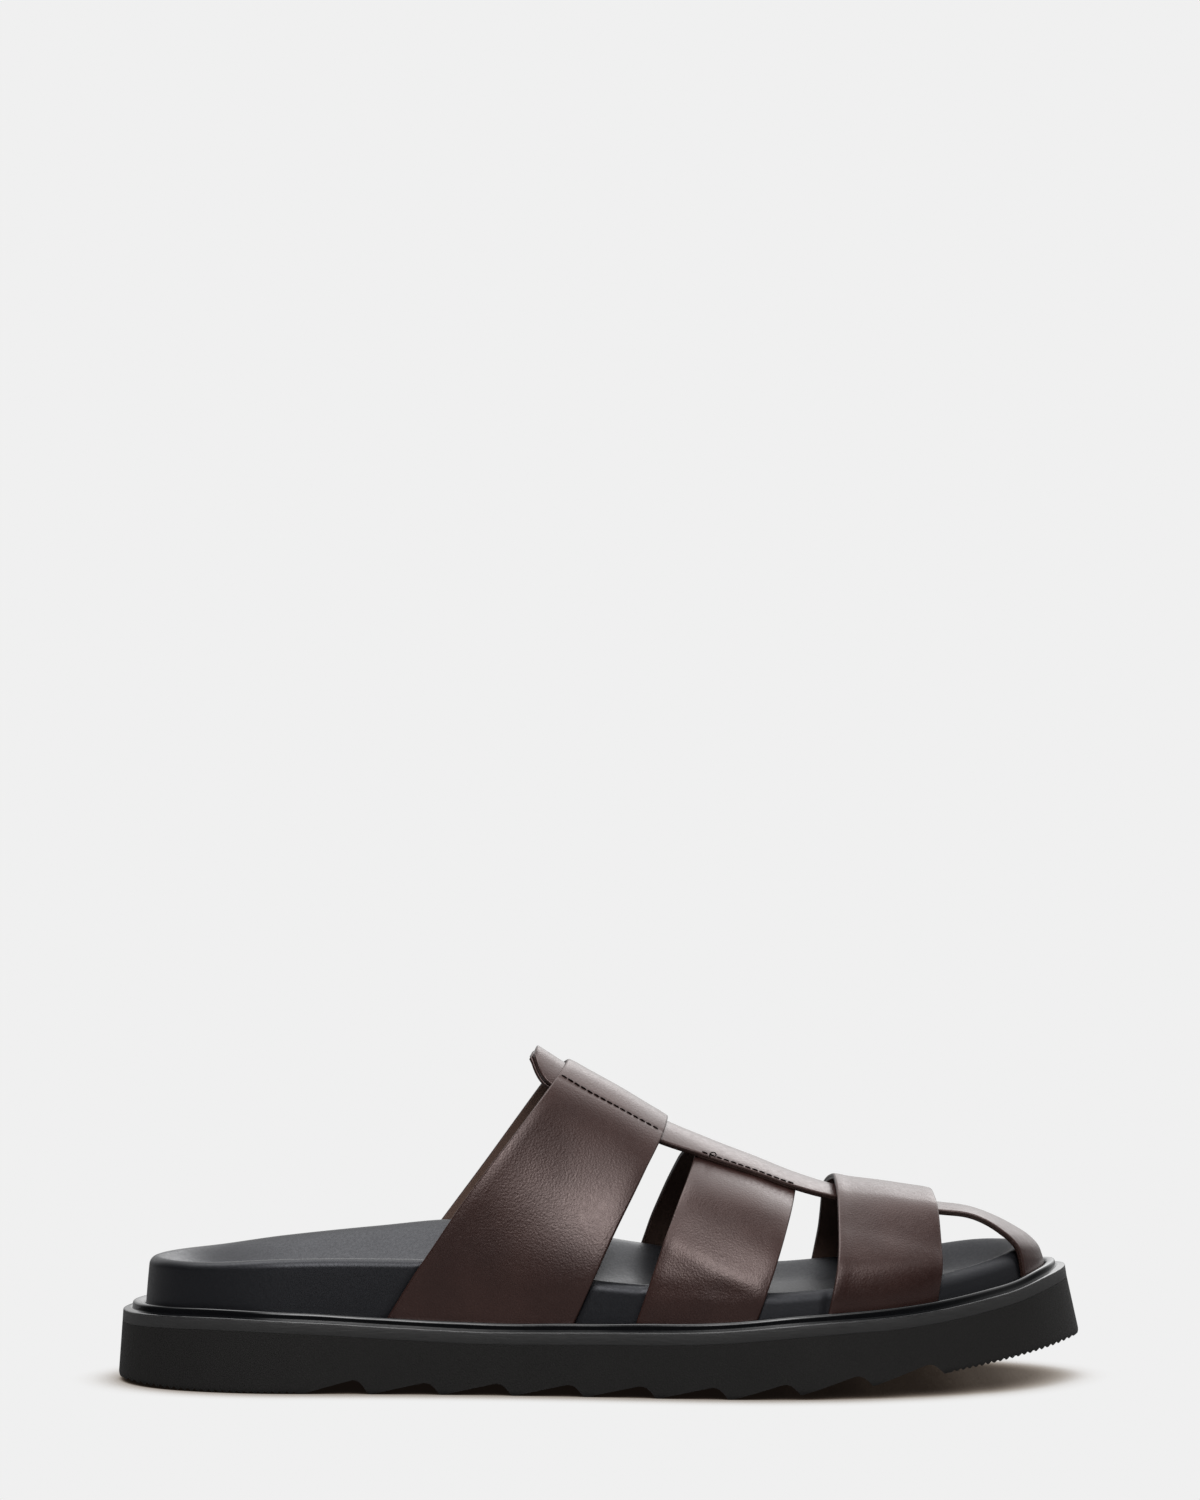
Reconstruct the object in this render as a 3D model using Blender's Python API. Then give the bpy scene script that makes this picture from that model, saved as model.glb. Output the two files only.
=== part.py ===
"""Slip-on fisherman sandal for the right foot.

Four pieces: a lugged outsole, a moulded welt plate with a raised bead, a cupped footbed, and an
upper of four leather straps joined where they cross.

World frame, in metres: +X to the toe, +Y to the inner (medial) side of the foot, +Z up, with the
origin on the ground under the middle of the sole. The tables and functions below work in
millimetres, with s as the distance forward from the back of the outsole.
"""
from collections import namedtuple

import bmesh
import bpy
import numpy as np

MM = 0.001

# Driving dimensions, in millimetres.
LENGTH = 300.0            # sole's flat outline, from heel to toe
EDGE = 7.2                # how far the sole stands out from the footbed all round
GAP = 0.3                 # clearance where two pieces meet
STATIONS = 52             # steps from heel to toe along each side of an outline

# Ground line: a short bevel at the heel, a flat, and the toe spring.
HEEL_BEVEL_LENGTH = 40.0
HEEL_BEVEL_RISE = 1.4
SPRING_START = 191.5
SPRING_RISE = 13.5
SPRING_POWER = 1.3
BOTTOM_EDGE_INSET = 0.9   # broken lower edge of the outsole
BOTTOM_EDGE_RISE = 2.2
TOE_FLARE = 1.0           # how much further the tread reaches than the sole above it, at the toe
MIDDLE = (LENGTH + TOE_FLARE) / 2
LEAN_STEPS = 4            # rounds that settle a point's station in the leaned plan

# Tread: saw-tooth cross grooves, each a long ramp up towards the toe and a short rounded drop.
GROOVES = 9
GROOVE_PITCH = 21.75
FIRST_PEAK = 74.5
FIRST_RAMP = 16.0
RAMP = 13.5
DROP = 5.4
GROOVE_DEPTH = 3.6
FIRST_GROOVE_DEPTH = 4.3
GrooveRow = namedtuple("GrooveRow", "ramps drops depth")
GROOVE_PROFILE = (
    # distance from the peak in lengths of the ramp or of the drop, and share of the depth
    GrooveRow(-1.0, 0.0, 0.0),
    GrooveRow(-0.45, 0.0, 0.52),
    GrooveRow(-0.09, 0.0, 0.94),
    GrooveRow(0.0, 0.07, 1.0),
    GrooveRow(0.0, 0.4, 0.82),
    GrooveRow(0.0, 1.0, 0.0),
)
CUTTER_BELOW = -6.0       # the groove cutters reach down to here ...
CUTTER_HALF_WIDTH = 75.0  # ... and this far to both sides

# Welt: heights above the outsole's top face, and offsets outwards from the footbed's wall.
BAND_TOP = 3.8
PLATE_FLOOR = 2.0
WELT_PROFILE = (
    # offset, height: round the edge of the plate, from under the band to the plate's floor
    (EDGE, GAP),
    (EDGE, BAND_TOP - 0.5),
    (EDGE - 0.4, BAND_TOP),
    (4.4, BAND_TOP),
    (4.1, BAND_TOP + 0.8),
    (3.4, BAND_TOP + 1.9),
    (2.3, BAND_TOP + 2.4),
    (1.2, BAND_TOP + 2.0),
    (GAP, BAND_TOP + 1.1),
    (GAP, PLATE_FLOOR),
)

# Footbed: its wall, from the bottom up to the crest of the rim. Rows are offset from the outline
# and height, where height runs from 0 at the bottom to 1 at the rim less ROUND.
ROUND = 5.6
FOOTBED_WALL = ((0.0, 0.0), (-0.1, 0.5), (-0.35, 1.0))
# Rounded rim: offset and depth below the crest.
FOOTBED_RIM = ((-1.0, 3.2), (-2.1, 1.3), (-3.6, 0.25), (-5.4, 0.0))
CUP_COLUMNS = 11          # columns of faces across the foot's surface
CUP_FULLNESS = 0.35       # how much the cup's side bulges as it falls from rim to floor

# Straps.
STRAP = 1.9               # thickness of the leather
STRAP_OUT = 1.3           # outer face of a strap's foot, outside the footbed's outline
STRAP_SEAT = 3.0          # underside of a strap's foot, above the outsole's top face
FOOT_HEIGHT = 12.0        # middle of a strap's foot, above the outsole's top face
SHOULDER = 4.0            # how far below the rim a strap starts to curve inwards
RIDGE_Y = 2.0             # centre line of the instep
BITE = 0.4                # how far two straps run into each other where they are joined
SKEW_START = 0.3          # a strap's medial half is skewed from this far down its side
FADE_START = 15.0         # a crossing strap is lifted this far out from the ridge ...
FADE_END = 34.0           # ... and is back on the common surface here

PlanRow = namedtuple("PlanRow", "s lateral medial")
PLAN = (
    PlanRow(EDGE, 1.0, 1.0),
    PlanRow(22.0, -23.5, 25.5),
    PlanRow(45.0, -31.5, 33.0),
    PlanRow(80.0, -33.0, 33.0),
    PlanRow(115.0, -35.5, 33.0),
    PlanRow(150.0, -40.0, 36.7),
    PlanRow(185.0, -45.5, 43.8),
    PlanRow(212.0, -46.5, 46.4),
    PlanRow(240.0, -41.5, 44.6),
    PlanRow(262.0, -32.0, 39.5),
    PlanRow(280.0, -17.0, 29.8),
    PlanRow(288.5, -4.0, 22.0),
    PlanRow(LENGTH - EDGE, 11.0, 11.0),
)

DeckRow = namedtuple("DeckRow", "s z")
DECK = (
    DeckRow(0.0, 17.4),
    DeckRow(30.0, 18.3),
    DeckRow(60.0, 17.5),
    DeckRow(110.0, 15.4),
    DeckRow(165.0, 16.1),
    DeckRow(205.0, 19.9),
    DeckRow(240.0, 22.6),
    DeckRow(262.0, 23.9),
    DeckRow(282.0, 26.6),
    DeckRow(300.0, 30.5),
)

RimRow = namedtuple("RimRow", "s lateral medial floor slope")
RIM = (
    RimRow(7.0, 38.1, 38.1, 29.5, 17.0),
    RimRow(28.0, 38.4, 38.8, 28.3, 17.0),
    RimRow(50.0, 39.4, 41.3, 27.8, 18.0),
    RimRow(80.0, 41.0, 44.4, 27.8, 20.0),
    RimRow(105.0, 40.0, 46.6, 28.3, 23.0),
    RimRow(130.0, 36.5, 45.2, 28.6, 24.0),
    RimRow(155.0, 33.8, 40.1, 28.4, 22.0),
    RimRow(180.0, 32.6, 35.8, 27.8, 18.0),
    RimRow(205.0, 31.2, 32.0, 27.4, 15.0),
    RimRow(225.0, 32.4, 33.1, 28.0, 15.0),
    RimRow(256.0, 34.6, 36.9, 30.6, 15.0),
    RimRow(280.0, 38.9, 40.9, 34.6, 14.0),
    RimRow(294.0, 41.6, 41.6, 38.0, 14.0),
)

# Outer face of the centre strap along the ridge, the radius of its crown, and the share of the
# height over which the sides stay steep.
RidgeRow = namedtuple("RidgeRow", "s z radius side")
RIDGE = (
    RidgeRow(80.0, 121.0, 15.0, 0.36),
    RidgeRow(110.0, 113.0, 15.0, 0.36),
    RidgeRow(130.0, 103.3, 15.0, 0.36),
    RidgeRow(141.0, 96.8, 15.5, 0.36),
    RidgeRow(170.0, 80.9, 17.5, 0.38),
    RidgeRow(198.0, 69.9, 21.5, 0.42),
    RidgeRow(221.0, 62.2, 34.0, 0.46),
    RidgeRow(238.0, 58.2, 52.0, 0.48),
    RidgeRow(255.0, 54.8, 75.0, 0.50),
    RidgeRow(266.0, 53.5, 80.0, 0.50),
)

# Edges of the cross straps, seen from the side: where the rear and the front edge are at height z.
EdgeRow = namedtuple("EdgeRow", "z rear front")
Strap = namedtuple("Strap", "name edges lift_rear lift_front skew columns")
CROSS_STRAPS = (
    Strap("instep_strap", (
        EdgeRow(17.0, 81.7, 140.6),
        EdgeRow(36.0, 94.2, 149.0),
        EdgeRow(48.0, 103.2, 154.5),
        EdgeRow(67.0, 117.3, 164.5),
        EdgeRow(78.0, 125.2, 170.4),
        EdgeRow(100.0, 140.9, 172.5),
    ), STRAP - BITE, STRAP - BITE, -2.3, 8),
    Strap("middle_strap", (
        EdgeRow(17.0, 159.4, 196.1),
        EdgeRow(50.0, 171.0, 207.8),
        EdgeRow(80.0, 183.5, 218.0),
    ), BITE - STRAP, BITE - STRAP, -3.4, 6),
    Strap("toe_strap", (
        EdgeRow(20.0, 218.6, 253.0),
        EdgeRow(45.0, 223.1, 255.3),
        EdgeRow(59.0, 222.8, 252.6),
        EdgeRow(66.0, 221.7, 250.4),
    ), STRAP - BITE, STRAP + 2.3, -2.8, 6),
)

# Centre strap: the line of its outer face from the tab at the instep down to the toe's bead,
# its half width, and how far it has turned from the crown of the last to the wall of the toe.
CentreRow = namedtuple("CentreRow", "s z half_width turn")
CENTRE = (
    CentreRow(130.3, 103.1, 15.2, 0.0),
    CentreRow(141.0, 96.8, 15.5, 0.0),
    CentreRow(155.5, 88.8, 15.5, 0.0),
    CentreRow(170.0, 80.9, 15.5, 0.0),
    CentreRow(184.0, 75.2, 15.2, 0.0),
    CentreRow(198.0, 69.9, 14.8, 0.0),
    CentreRow(221.0, 62.2, 13.6, 0.0),
    CentreRow(238.0, 58.0, 13.0, 0.0),
    CentreRow(254.0, 54.7, 12.6, 0.08),
    CentreRow(267.0, 52.5, 12.6, 0.28),
    CentreRow(275.0, 49.6, 12.8, 0.48),
    CentreRow(281.0, 46.6, 13.0, 0.66),
    CentreRow(285.5, 43.6, 13.2, 0.82),
    CentreRow(288.4, 40.4, 13.4, 0.94),
    CentreRow(289.7, 37.0, 13.6, 1.0),
)
TAB_ROUND = 9.0           # how far the tab's round end reaches along the strap
TAB_TIP = 5.0             # half width left at its very end
TOE_WRAP = 45.0           # length over which the strap bends down round the toe
EDGE_RISE = 0.25          # rise of its edges for each millimetre that they sit back there
CENTRE_COLUMNS = 6

# Samples across a cross strap, from its foot to the ridge.
WALL_SHARE = 0.2          # share of the parameter spent on the upright foot
WALL_STEPS = 2
BOW_STEPS = 14
SOLVE_STEPS = 40          # rounds that bring each sample onto its strap's edge line


def column(rows, name):
    return np.array([getattr(row, name) for row in rows])


def through(x, xs, ys):
    """Smooth curve through the points (xs, ys), held at its end values beyond them."""
    x = np.clip(x, xs[0], xs[-1])
    slopes = np.gradient(ys, xs)
    i = np.clip(np.searchsorted(xs, x, side="right") - 1, 0, len(xs) - 2)
    step = xs[i + 1] - xs[i]
    t = (x - xs[i]) / step
    start = (1 + 2 * t) * (1 - t) ** 2 * ys[i] + t * (1 - t) ** 2 * step * slopes[i]
    end = t * t * (3 - 2 * t) * ys[i + 1] + t * t * (t - 1) * step * slopes[i + 1]
    return start + end


def lookup(rows, name, x):
    return through(x, column(rows, rows[0]._fields[0]), column(rows, name))


def smoothstep(x):
    x = np.clip(x, 0.0, 1.0)
    return x * x * (3 - 2 * x)


# ---------------------------------------------------------------- the sole's common surfaces

def ground(s):
    """Height of the tread's face: zero between the heel's bevel and the toe spring."""
    heel = np.clip(1 - s / HEEL_BEVEL_LENGTH, 0, None)
    toe = np.clip((s - SPRING_START) / (LENGTH - SPRING_START), 0, None)
    return HEEL_BEVEL_RISE * heel ** 2 + SPRING_RISE * toe ** SPRING_POWER


def lean(s):
    """Slope of the ground line: the whole sole leans back by it."""
    step = 0.01
    return (ground(s + step) - ground(s - step)) / (2 * step)


def deck(s):
    return lookup(DECK, "z", s)


def place(s, y, z):
    """World point of a sole point: station s in the flat plan, leaned back with the ground."""
    x = s - MIDDLE - lean(s) * (z - ground(s))
    return np.stack(np.broadcast_arrays(x, y, z), axis=-1)


def plan_station(s, z):
    """Station in the flat plan of a point seen at distance s and height z."""
    flat = s
    for _ in range(LEAN_STEPS):
        flat = s + lean(flat) * (z - ground(flat))
    return flat


def turn_angle(s):
    """Angle that runs from 0 at the footbed's heel to pi at its toe, for round ends."""
    share = (s - EDGE) / (LENGTH - 2 * EDGE)
    return np.arccos(1 - 2 * np.clip(share, 0, 1))


def outline_y(side, s):
    return through(turn_angle(s), turn_angle(column(PLAN, "s")), column(PLAN, side))


def outline(offset=0.0):
    """Closed ring (s, y) round the footbed, anticlockwise from the heel, moved out by offset."""
    angle = np.linspace(0, np.pi, STATIONS + 1)
    s = EDGE + (LENGTH - 2 * EDGE) * (1 - np.cos(angle)) / 2
    lateral = np.column_stack([s, outline_y("lateral", s)])
    medial = np.column_stack([s, outline_y("medial", s)])
    ring = np.vstack([lateral, medial[-2:0:-1]])
    along = np.roll(ring, -1, axis=0) - np.roll(ring, 1, axis=0)
    along /= np.linalg.norm(along, axis=1, keepdims=True)
    return ring + offset * np.column_stack([along[:, 1], -along[:, 0]])


def rim_ring():
    """Height of the footbed's rim at each point of the outline."""
    s = outline()[:, 0]
    lateral = lookup(RIM, "lateral", s)
    medial = lookup(RIM, "medial", s)
    return np.where(np.arange(len(s)) <= STATIONS, lateral, medial)


def ladder(ring):
    """Pairs of points of a ring that lie opposite each other, from heel to toe."""
    count = len(ring)
    return [(i, (count - i) % count) for i in range(STATIONS + 1)]


# ---------------------------------------------------------------- the straps' common surface

def section(s, t, drop=0.0):
    """Outer face of the straps across the foot at station s.

    t is -1 at the lateral foot, 0 on the ridge and 1 at the medial foot. Each half goes
    straight up from its seat beside the footbed and then bows over to the ridge.
    """
    flat = plan_station(s, deck(s) + FOOT_HEIGHT)
    lateral = t < 0
    side = np.where(lateral, -1.0, 1.0)
    edge = np.where(lateral, outline_y("lateral", flat), outline_y("medial", flat))
    foot_y = edge + side * STRAP_OUT
    rim = np.where(lateral, lookup(RIM, "lateral", flat), lookup(RIM, "medial", flat))
    shoulder = rim - SHOULDER
    seat = deck(flat) + STRAP_SEAT - drop
    top = lookup(RIDGE, "z", s)
    reach = shoulder + lookup(RIDGE, "side", s) * (top - shoulder)
    crown = np.sqrt(2 / 3 * lookup(RIDGE, "radius", s) * (top - reach))
    b = np.clip(1 - np.abs(t), 0, 1)
    up = np.clip(b / WALL_SHARE, 0, 1)
    bow = np.clip((b - WALL_SHARE) / (1 - WALL_SHARE), 0, 1)
    w0 = (1 - bow) ** 3
    w1 = 3 * bow * (1 - bow) ** 2
    w2 = 3 * bow ** 2 * (1 - bow)
    w3 = bow ** 3
    y = (w0 + w1) * foot_y + w2 * (RIDGE_Y + side * crown) + w3 * RIDGE_Y
    z_bow = w0 * shoulder + w1 * reach + (w2 + w3) * top
    z = np.where(b < WALL_SHARE, seat + up * (shoulder - seat), z_bow)
    return y, z


def crown_z(s, y):
    """Height of the straps' common face at station s and width y, near the ridge."""
    t = np.linspace(-0.6, 0.6, 61)
    heights = np.empty(np.shape(s))
    for i, (one_s, one_y) in enumerate(zip(np.ravel(s), np.ravel(y))):
        across, up = section(np.full_like(t, one_s), t)
        heights.flat[i] = np.interp(one_y, across, up)
    return heights


def cross_strap_sheet(strap, grow):
    """Grid of points on the common face, and the lift of the strap off it."""
    half = np.concatenate([
        np.linspace(0, WALL_SHARE, WALL_STEPS + 1)[:-1],
        np.linspace(WALL_SHARE, 1, BOW_STEPS + 1),
    ])
    t = np.concatenate([half - 1, 1 - half[-2::-1]])
    t, v = np.meshgrid(t, np.linspace(0, 1, strap.columns + 1), indexing="ij")
    heights = column(strap.edges, "z")
    rear = column(strap.edges, "rear")
    front = column(strap.edges, "front")
    skew = strap.skew * smoothstep(t / SKEW_START)
    s = np.full_like(t, (rear[0] + front[0]) / 2)
    for _ in range(SOLVE_STEPS):
        z = section(s, t, grow)[1]
        back = through(z, heights, rear)
        s = (s + back + v * (through(z, heights, front) - back) + skew) / 2
    slant = through(z, heights, np.gradient(rear, heights))
    s = s + grow * (2 * v - 1) * np.hypot(1, slant)
    y, z = section(s, t, grow)
    fade = 1 - smoothstep((np.abs(y - RIDGE_Y) - FADE_START) / (FADE_END - FADE_START))
    lift = (strap.lift_rear + v * (strap.lift_front - strap.lift_rear)) * fade
    return np.stack([s - MIDDLE, y, z], axis=-1), lift


def toe_wall(y):
    """Station and seat height of the footbed's toe wall at width y."""
    ring = outline(STRAP_OUT)[STATIONS // 2:-STATIONS // 2]
    flat = np.interp(y, ring[:, 1], ring[:, 0])
    seat = deck(flat) + STRAP_SEAT
    return flat - lean(flat) * (seat - ground(flat)), seat


def centre_strap_sheet(grow):
    """Grid of points on the centre strap's outer face; it has no lift."""
    legs = np.hypot(np.diff(column(CENTRE, "s")), np.diff(column(CENTRE, "z")))
    path = np.concatenate([[0.0], np.cumsum(legs)])
    toe = path[-1] - TOE_WRAP
    stations = np.concatenate([
        TAB_ROUND * (1 - np.cos(np.linspace(0, np.pi / 2, 5))),
        np.linspace(TAB_ROUND, toe, 12)[1:],
        np.linspace(toe, path[-1], 10)[1:],
    ])
    s, z, width, turn = (through(stations, path, column(CENTRE, name))[:, None]
                         for name in CentreRow._fields)
    rounding = np.sqrt(1 - np.clip(1 - stations / TAB_ROUND, 0, 1) ** 2)[:, None]
    width = TAB_TIP + (width - TAB_TIP) * rounding + grow
    y = RIDGE_Y + np.linspace(-1, 1, CENTRE_COLUMNS + 1) * width
    tip = toe_wall(np.array([PLAN[-1].lateral]))[0]
    wall, seat = toe_wall(y)
    back = wall - tip
    crown_s = np.minimum(s, RIDGE[-1].s) + 0 * y
    drop = lookup(RIDGE, "z", crown_s) - crown_z(crown_s, y)
    s = s + smoothstep(turn) * back
    s[0] -= grow
    z = z - drop * (1 - turn) - EDGE_RISE * turn * back
    foot = [wall[-1:], y[-1:], seat[-1:] - grow]
    sheet = [np.vstack([upper, lower]) for upper, lower in zip((s, y, z), foot)]
    grid = np.stack(sheet, axis=-1) - [MIDDLE, 0, 0]
    return grid, np.zeros(grid.shape[:2])


# ---------------------------------------------------------------- mesh helpers

def collection(name):
    made = bpy.data.collections.new(name)
    bpy.context.scene.collection.children.link(made)
    return made


def material(name, colour, roughness, metallic=0.0):
    made = bpy.data.materials.new(name)
    made.use_nodes = True
    shader = made.node_tree.nodes["Principled BSDF"]
    shader.inputs["Base Color"].default_value = (*colour, 1.0)
    shader.inputs["Roughness"].default_value = roughness
    shader.inputs["Metallic"].default_value = metallic
    made.diffuse_color = (*colour, 1.0)
    return made


def make_object(name, points, faces, home, surface=None):
    """Mesh object from points in millimetres, with its faces turned outwards."""
    mesh = bpy.data.meshes.new(name)
    mesh.from_pydata((np.asarray(points) * MM).tolist(), [], faces)
    shape = bmesh.new()
    shape.from_mesh(mesh)
    bmesh.ops.recalc_face_normals(shape, faces=shape.faces)
    shape.to_mesh(mesh)
    shape.free()
    mesh.shade_smooth()
    mesh.set_sharp_from_angle(angle=np.radians(35))
    if surface:
        mesh.materials.append(surface)
    made = bpy.data.objects.new(name, mesh)
    home.objects.link(made)
    return made


def as_cutter(made):
    made.hide_render = True
    made.display_type = "WIRE"
    return made


def boolean(target, other, operation):
    step = target.modifiers.new(f"{operation.lower()} {other.name}", "BOOLEAN")
    step.operation = operation
    step.solver = "EXACT"
    step.object = other


def stacked_rings(rings):
    """Points and side faces of rings stacked from first to last."""
    count = len(rings[0])
    faces = []
    for k in range(len(rings) - 1):
        for i in range(count):
            j = (i + 1) % count
            faces.append((k * count + i, k * count + j, (k + 1) * count + j, (k + 1) * count + i))
    return np.vstack(rings), faces


def ladder_cap(ring, first):
    """Flat-bedded cap across a ring whose points start at index first."""
    pairs = ladder(ring)
    faces = []
    for (a, b), (c, d) in zip(pairs[:-1], pairs[1:]):
        loop = [a, c, d, b]
        faces.append(tuple(first + i for i in dict.fromkeys(loop)))
    return faces


def unit_normals(grid):
    """Normals of a grid of points, by central differences, pointing up and outwards."""
    normals = np.cross(np.gradient(grid, axis=0), np.gradient(grid, axis=1))
    normals /= np.linalg.norm(normals, axis=-1, keepdims=True)
    return normals * np.sign(normals[..., 2].sum())


def sheet_solid(name, grid, lift, grow, home, surface=None):
    """Closed sheet of leather under a grid of points on its outer face."""
    rows, columns = grid.shape[:2]
    normals = unit_normals(grid)
    outer = grid + normals * (lift + grow)[..., None]
    inner = grid + normals * (lift - STRAP - grow)[..., None]
    points = np.vstack([outer.reshape(-1, 3), inner.reshape(-1, 3)])
    below = rows * columns
    faces = []
    for i in range(rows - 1):
        for j in range(columns - 1):
            a = i * columns + j
            quad = (a, a + 1, a + columns + 1, a + columns)
            faces.append(quad)
            faces.append(tuple(below + k for k in reversed(quad)))
    border = [i * columns for i in range(rows)]
    border += [(rows - 1) * columns + j for j in range(1, columns)]
    border += [i * columns + columns - 1 for i in range(rows - 2, -1, -1)]
    border += list(range(columns - 2, 0, -1))
    for a, b in zip(border, border[1:] + border[:1]):
        faces.append((a, b, below + b, below + a))
    return make_object(name, points, faces, home, surface)


# ---------------------------------------------------------------- the pieces

def outsole_rings():
    s, y = outline(EDGE).T
    flare = (TOE_FLARE * ground(s) / SPRING_RISE * (s > SPRING_START))[:, None]
    tread_s, tread_y = outline(EDGE + flare).T
    inner_s, inner_y = outline(EDGE + flare - BOTTOM_EDGE_INSET).T
    return [
        place(inner_s, inner_y, ground(inner_s)),
        place(tread_s, tread_y, ground(tread_s) + BOTTOM_EDGE_RISE),
        place(s, y, deck(s)),
    ]


def groove_cutter(index, home):
    """Prism under the sole: a ramp up to the peak, a rounded drop, and the ground below."""
    peak = FIRST_PEAK + index * GROOVE_PITCH
    ramp = FIRST_RAMP if index == 0 else RAMP
    depth = FIRST_GROOVE_DEPTH if index == 0 else GROOVE_DEPTH
    s = peak + ramp * column(GROOVE_PROFILE, "ramps") + DROP * column(GROOVE_PROFILE, "drops")
    z = ground(s) + depth * column(GROOVE_PROFILE, "depth")
    profile = [(s[0] - 1, CUTTER_BELOW), *zip(s, z), (s[-1] + 1, CUTTER_BELOW)]
    count = len(profile)
    sides = (-CUTTER_HALF_WIDTH, CUTTER_HALF_WIDTH)
    points = [(one_s - MIDDLE, y, one_z) for y in sides for one_s, one_z in profile]
    faces = [tuple(range(count)), tuple(range(2 * count - 1, count - 1, -1))]
    for i in range(count):
        j = (i + 1) % count
        faces.append((i, j, count + j, count + i))
    return as_cutter(make_object(f"groove_cutter_{index + 1}", points, faces, home))


def make_outsole(home, cutters):
    points, faces = stacked_rings(outsole_rings())
    ring = outline()
    faces += ladder_cap(ring, 0)
    faces += ladder_cap(ring, 2 * len(ring))
    rubber = material("outsole_rubber", (0.018, 0.017, 0.016), 0.62)
    outsole = make_object("outsole", points, faces, home, rubber)
    for index in range(GROOVES):
        boolean(outsole, groove_cutter(index, cutters), "DIFFERENCE")
    return outsole


def make_welt(home, strap_cutters):
    rings = []
    for offset, height in WELT_PROFILE:
        s, y = outline(offset).T
        rings.append(place(s, y, deck(s) + height))
    points, faces = stacked_rings(rings)
    ring = outline()
    faces += ladder_cap(ring, 0)
    faces += ladder_cap(ring, (len(rings) - 1) * len(ring))
    gloss = material("welt_compound", (0.022, 0.022, 0.023), 0.35)
    welt = make_object("welt", points, faces, home, gloss)
    for cutter in strap_cutters:
        boolean(welt, cutter, "DIFFERENCE")
    return welt


def cup_height(s, y, crest, rim):
    """Height of the foot's surface: the rim near the crest ring, easing down to the floor."""
    distance = np.hypot(crest[:, 0] - s, crest[:, 1] - y)
    weight = 1 / (distance + GAP) ** 4
    near_rim = (weight * rim).sum() / weight.sum()
    floor = lookup(RIM, "floor", s)
    fall = np.clip(1 - distance.min() / lookup(RIM, "slope", s), 0, 1) ** 2
    return floor + (near_rim - floor) * fall * (1 + CUP_FULLNESS * (1 - fall))


def make_footbed(home, strap_cutters):
    rim = rim_ring()
    s, y = outline().T
    bottom = deck(s) + PLATE_FLOOR + GAP
    rings = []
    for offset, share in FOOTBED_WALL:
        s, y = outline(offset).T
        rings.append(place(s, y, bottom + share * (rim - ROUND - bottom)))
    for offset, depth in FOOTBED_RIM:
        s, y = outline(offset).T
        rings.append(place(s, y, rim - depth))
    points, faces = stacked_rings(rings)
    ring = outline()
    faces += ladder_cap(ring, 0)
    # The foot's surface: rows of points between opposite points of the crest ring.
    crest = outline(FOOTBED_RIM[-1][0])
    first = (len(rings) - 1) * len(ring)
    pairs = ladder(ring)
    rows = [[first + pairs[0][0]]]
    extra = []
    for a, b in pairs[1:-1]:
        row = [first + a]
        for k in range(1, CUP_COLUMNS):
            share = (1 - np.cos(np.pi * k / CUP_COLUMNS)) / 2
            cup_s, cup_y = crest[a] + share * (crest[b] - crest[a])
            row.append(len(points) + len(extra))
            extra.append(place(cup_s, cup_y, cup_height(cup_s, cup_y, crest, rim)))
        rows.append(row + [first + b])
    rows.append([first + pairs[-1][0]])
    for near, far in zip(rows[:-1], rows[1:]):
        for k in range(CUP_COLUMNS):
            loop = [near[min(k, len(near) - 1)], far[min(k, len(far) - 1)],
                    far[min(k + 1, len(far) - 1)], near[min(k + 1, len(near) - 1)]]
            faces.append(tuple(dict.fromkeys(loop)))
    foam = material("footbed_cover", (0.020, 0.021, 0.024), 0.5)
    footbed = make_object("footbed", np.vstack([points, extra]), faces, home, foam)
    for cutter in strap_cutters:
        boolean(footbed, cutter, "DIFFERENCE")
    return footbed


def strap_solids(home, grow, surface=None, ending=""):
    """The centre strap and the three cross straps as separate closed sheets."""
    made = [sheet_solid("centre_strap" + ending, *centre_strap_sheet(grow), grow, home, surface)]
    for strap in CROSS_STRAPS:
        grid, lift = cross_strap_sheet(strap, grow)
        made.append(sheet_solid(strap.name + ending, grid, lift, grow, home, surface))
    return made


def make_upper(home, cutters):
    leather = material("brown_leather", (0.075, 0.043, 0.038), 0.45)
    upper, *others = strap_solids(home, 0.0, leather)
    upper.name = "upper"
    upper.data.name = "upper"
    for strap in others:
        home.objects.unlink(strap)
        cutters.objects.link(as_cutter(strap))
        boolean(upper, strap, "UNION")
    return upper


def main():
    for thing in list(bpy.data.objects):
        bpy.data.objects.remove(thing, do_unlink=True)
    sandal = collection("fisherman_sandal")
    cutters = collection("cutters")
    pockets = [as_cutter(made) for made in strap_solids(cutters, GAP, ending="_pocket")]
    make_outsole(sandal, cutters)
    make_welt(sandal, pockets)
    make_footbed(sandal, pockets)
    make_upper(sandal, cutters)


main()
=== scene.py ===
"""Looks of the slip-on fisherman sandal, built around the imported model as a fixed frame.

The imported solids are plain, so each is stood for by finer pieces that are worked out from the
same few tables: straps of two-ply leather with rounded cut edges and sunk stitching, a satin
footbed, a moulded welt with a glossy bead, and an outsole with its fine tread.

World frame, in metres: +X to the toe, +Y to the inner side of the right foot, +Z up. The tables
and functions work in millimetres, with s as the distance forward from the back of the outsole.
"""
from collections import namedtuple

import bpy
import numpy as np
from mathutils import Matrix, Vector, noise

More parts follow.
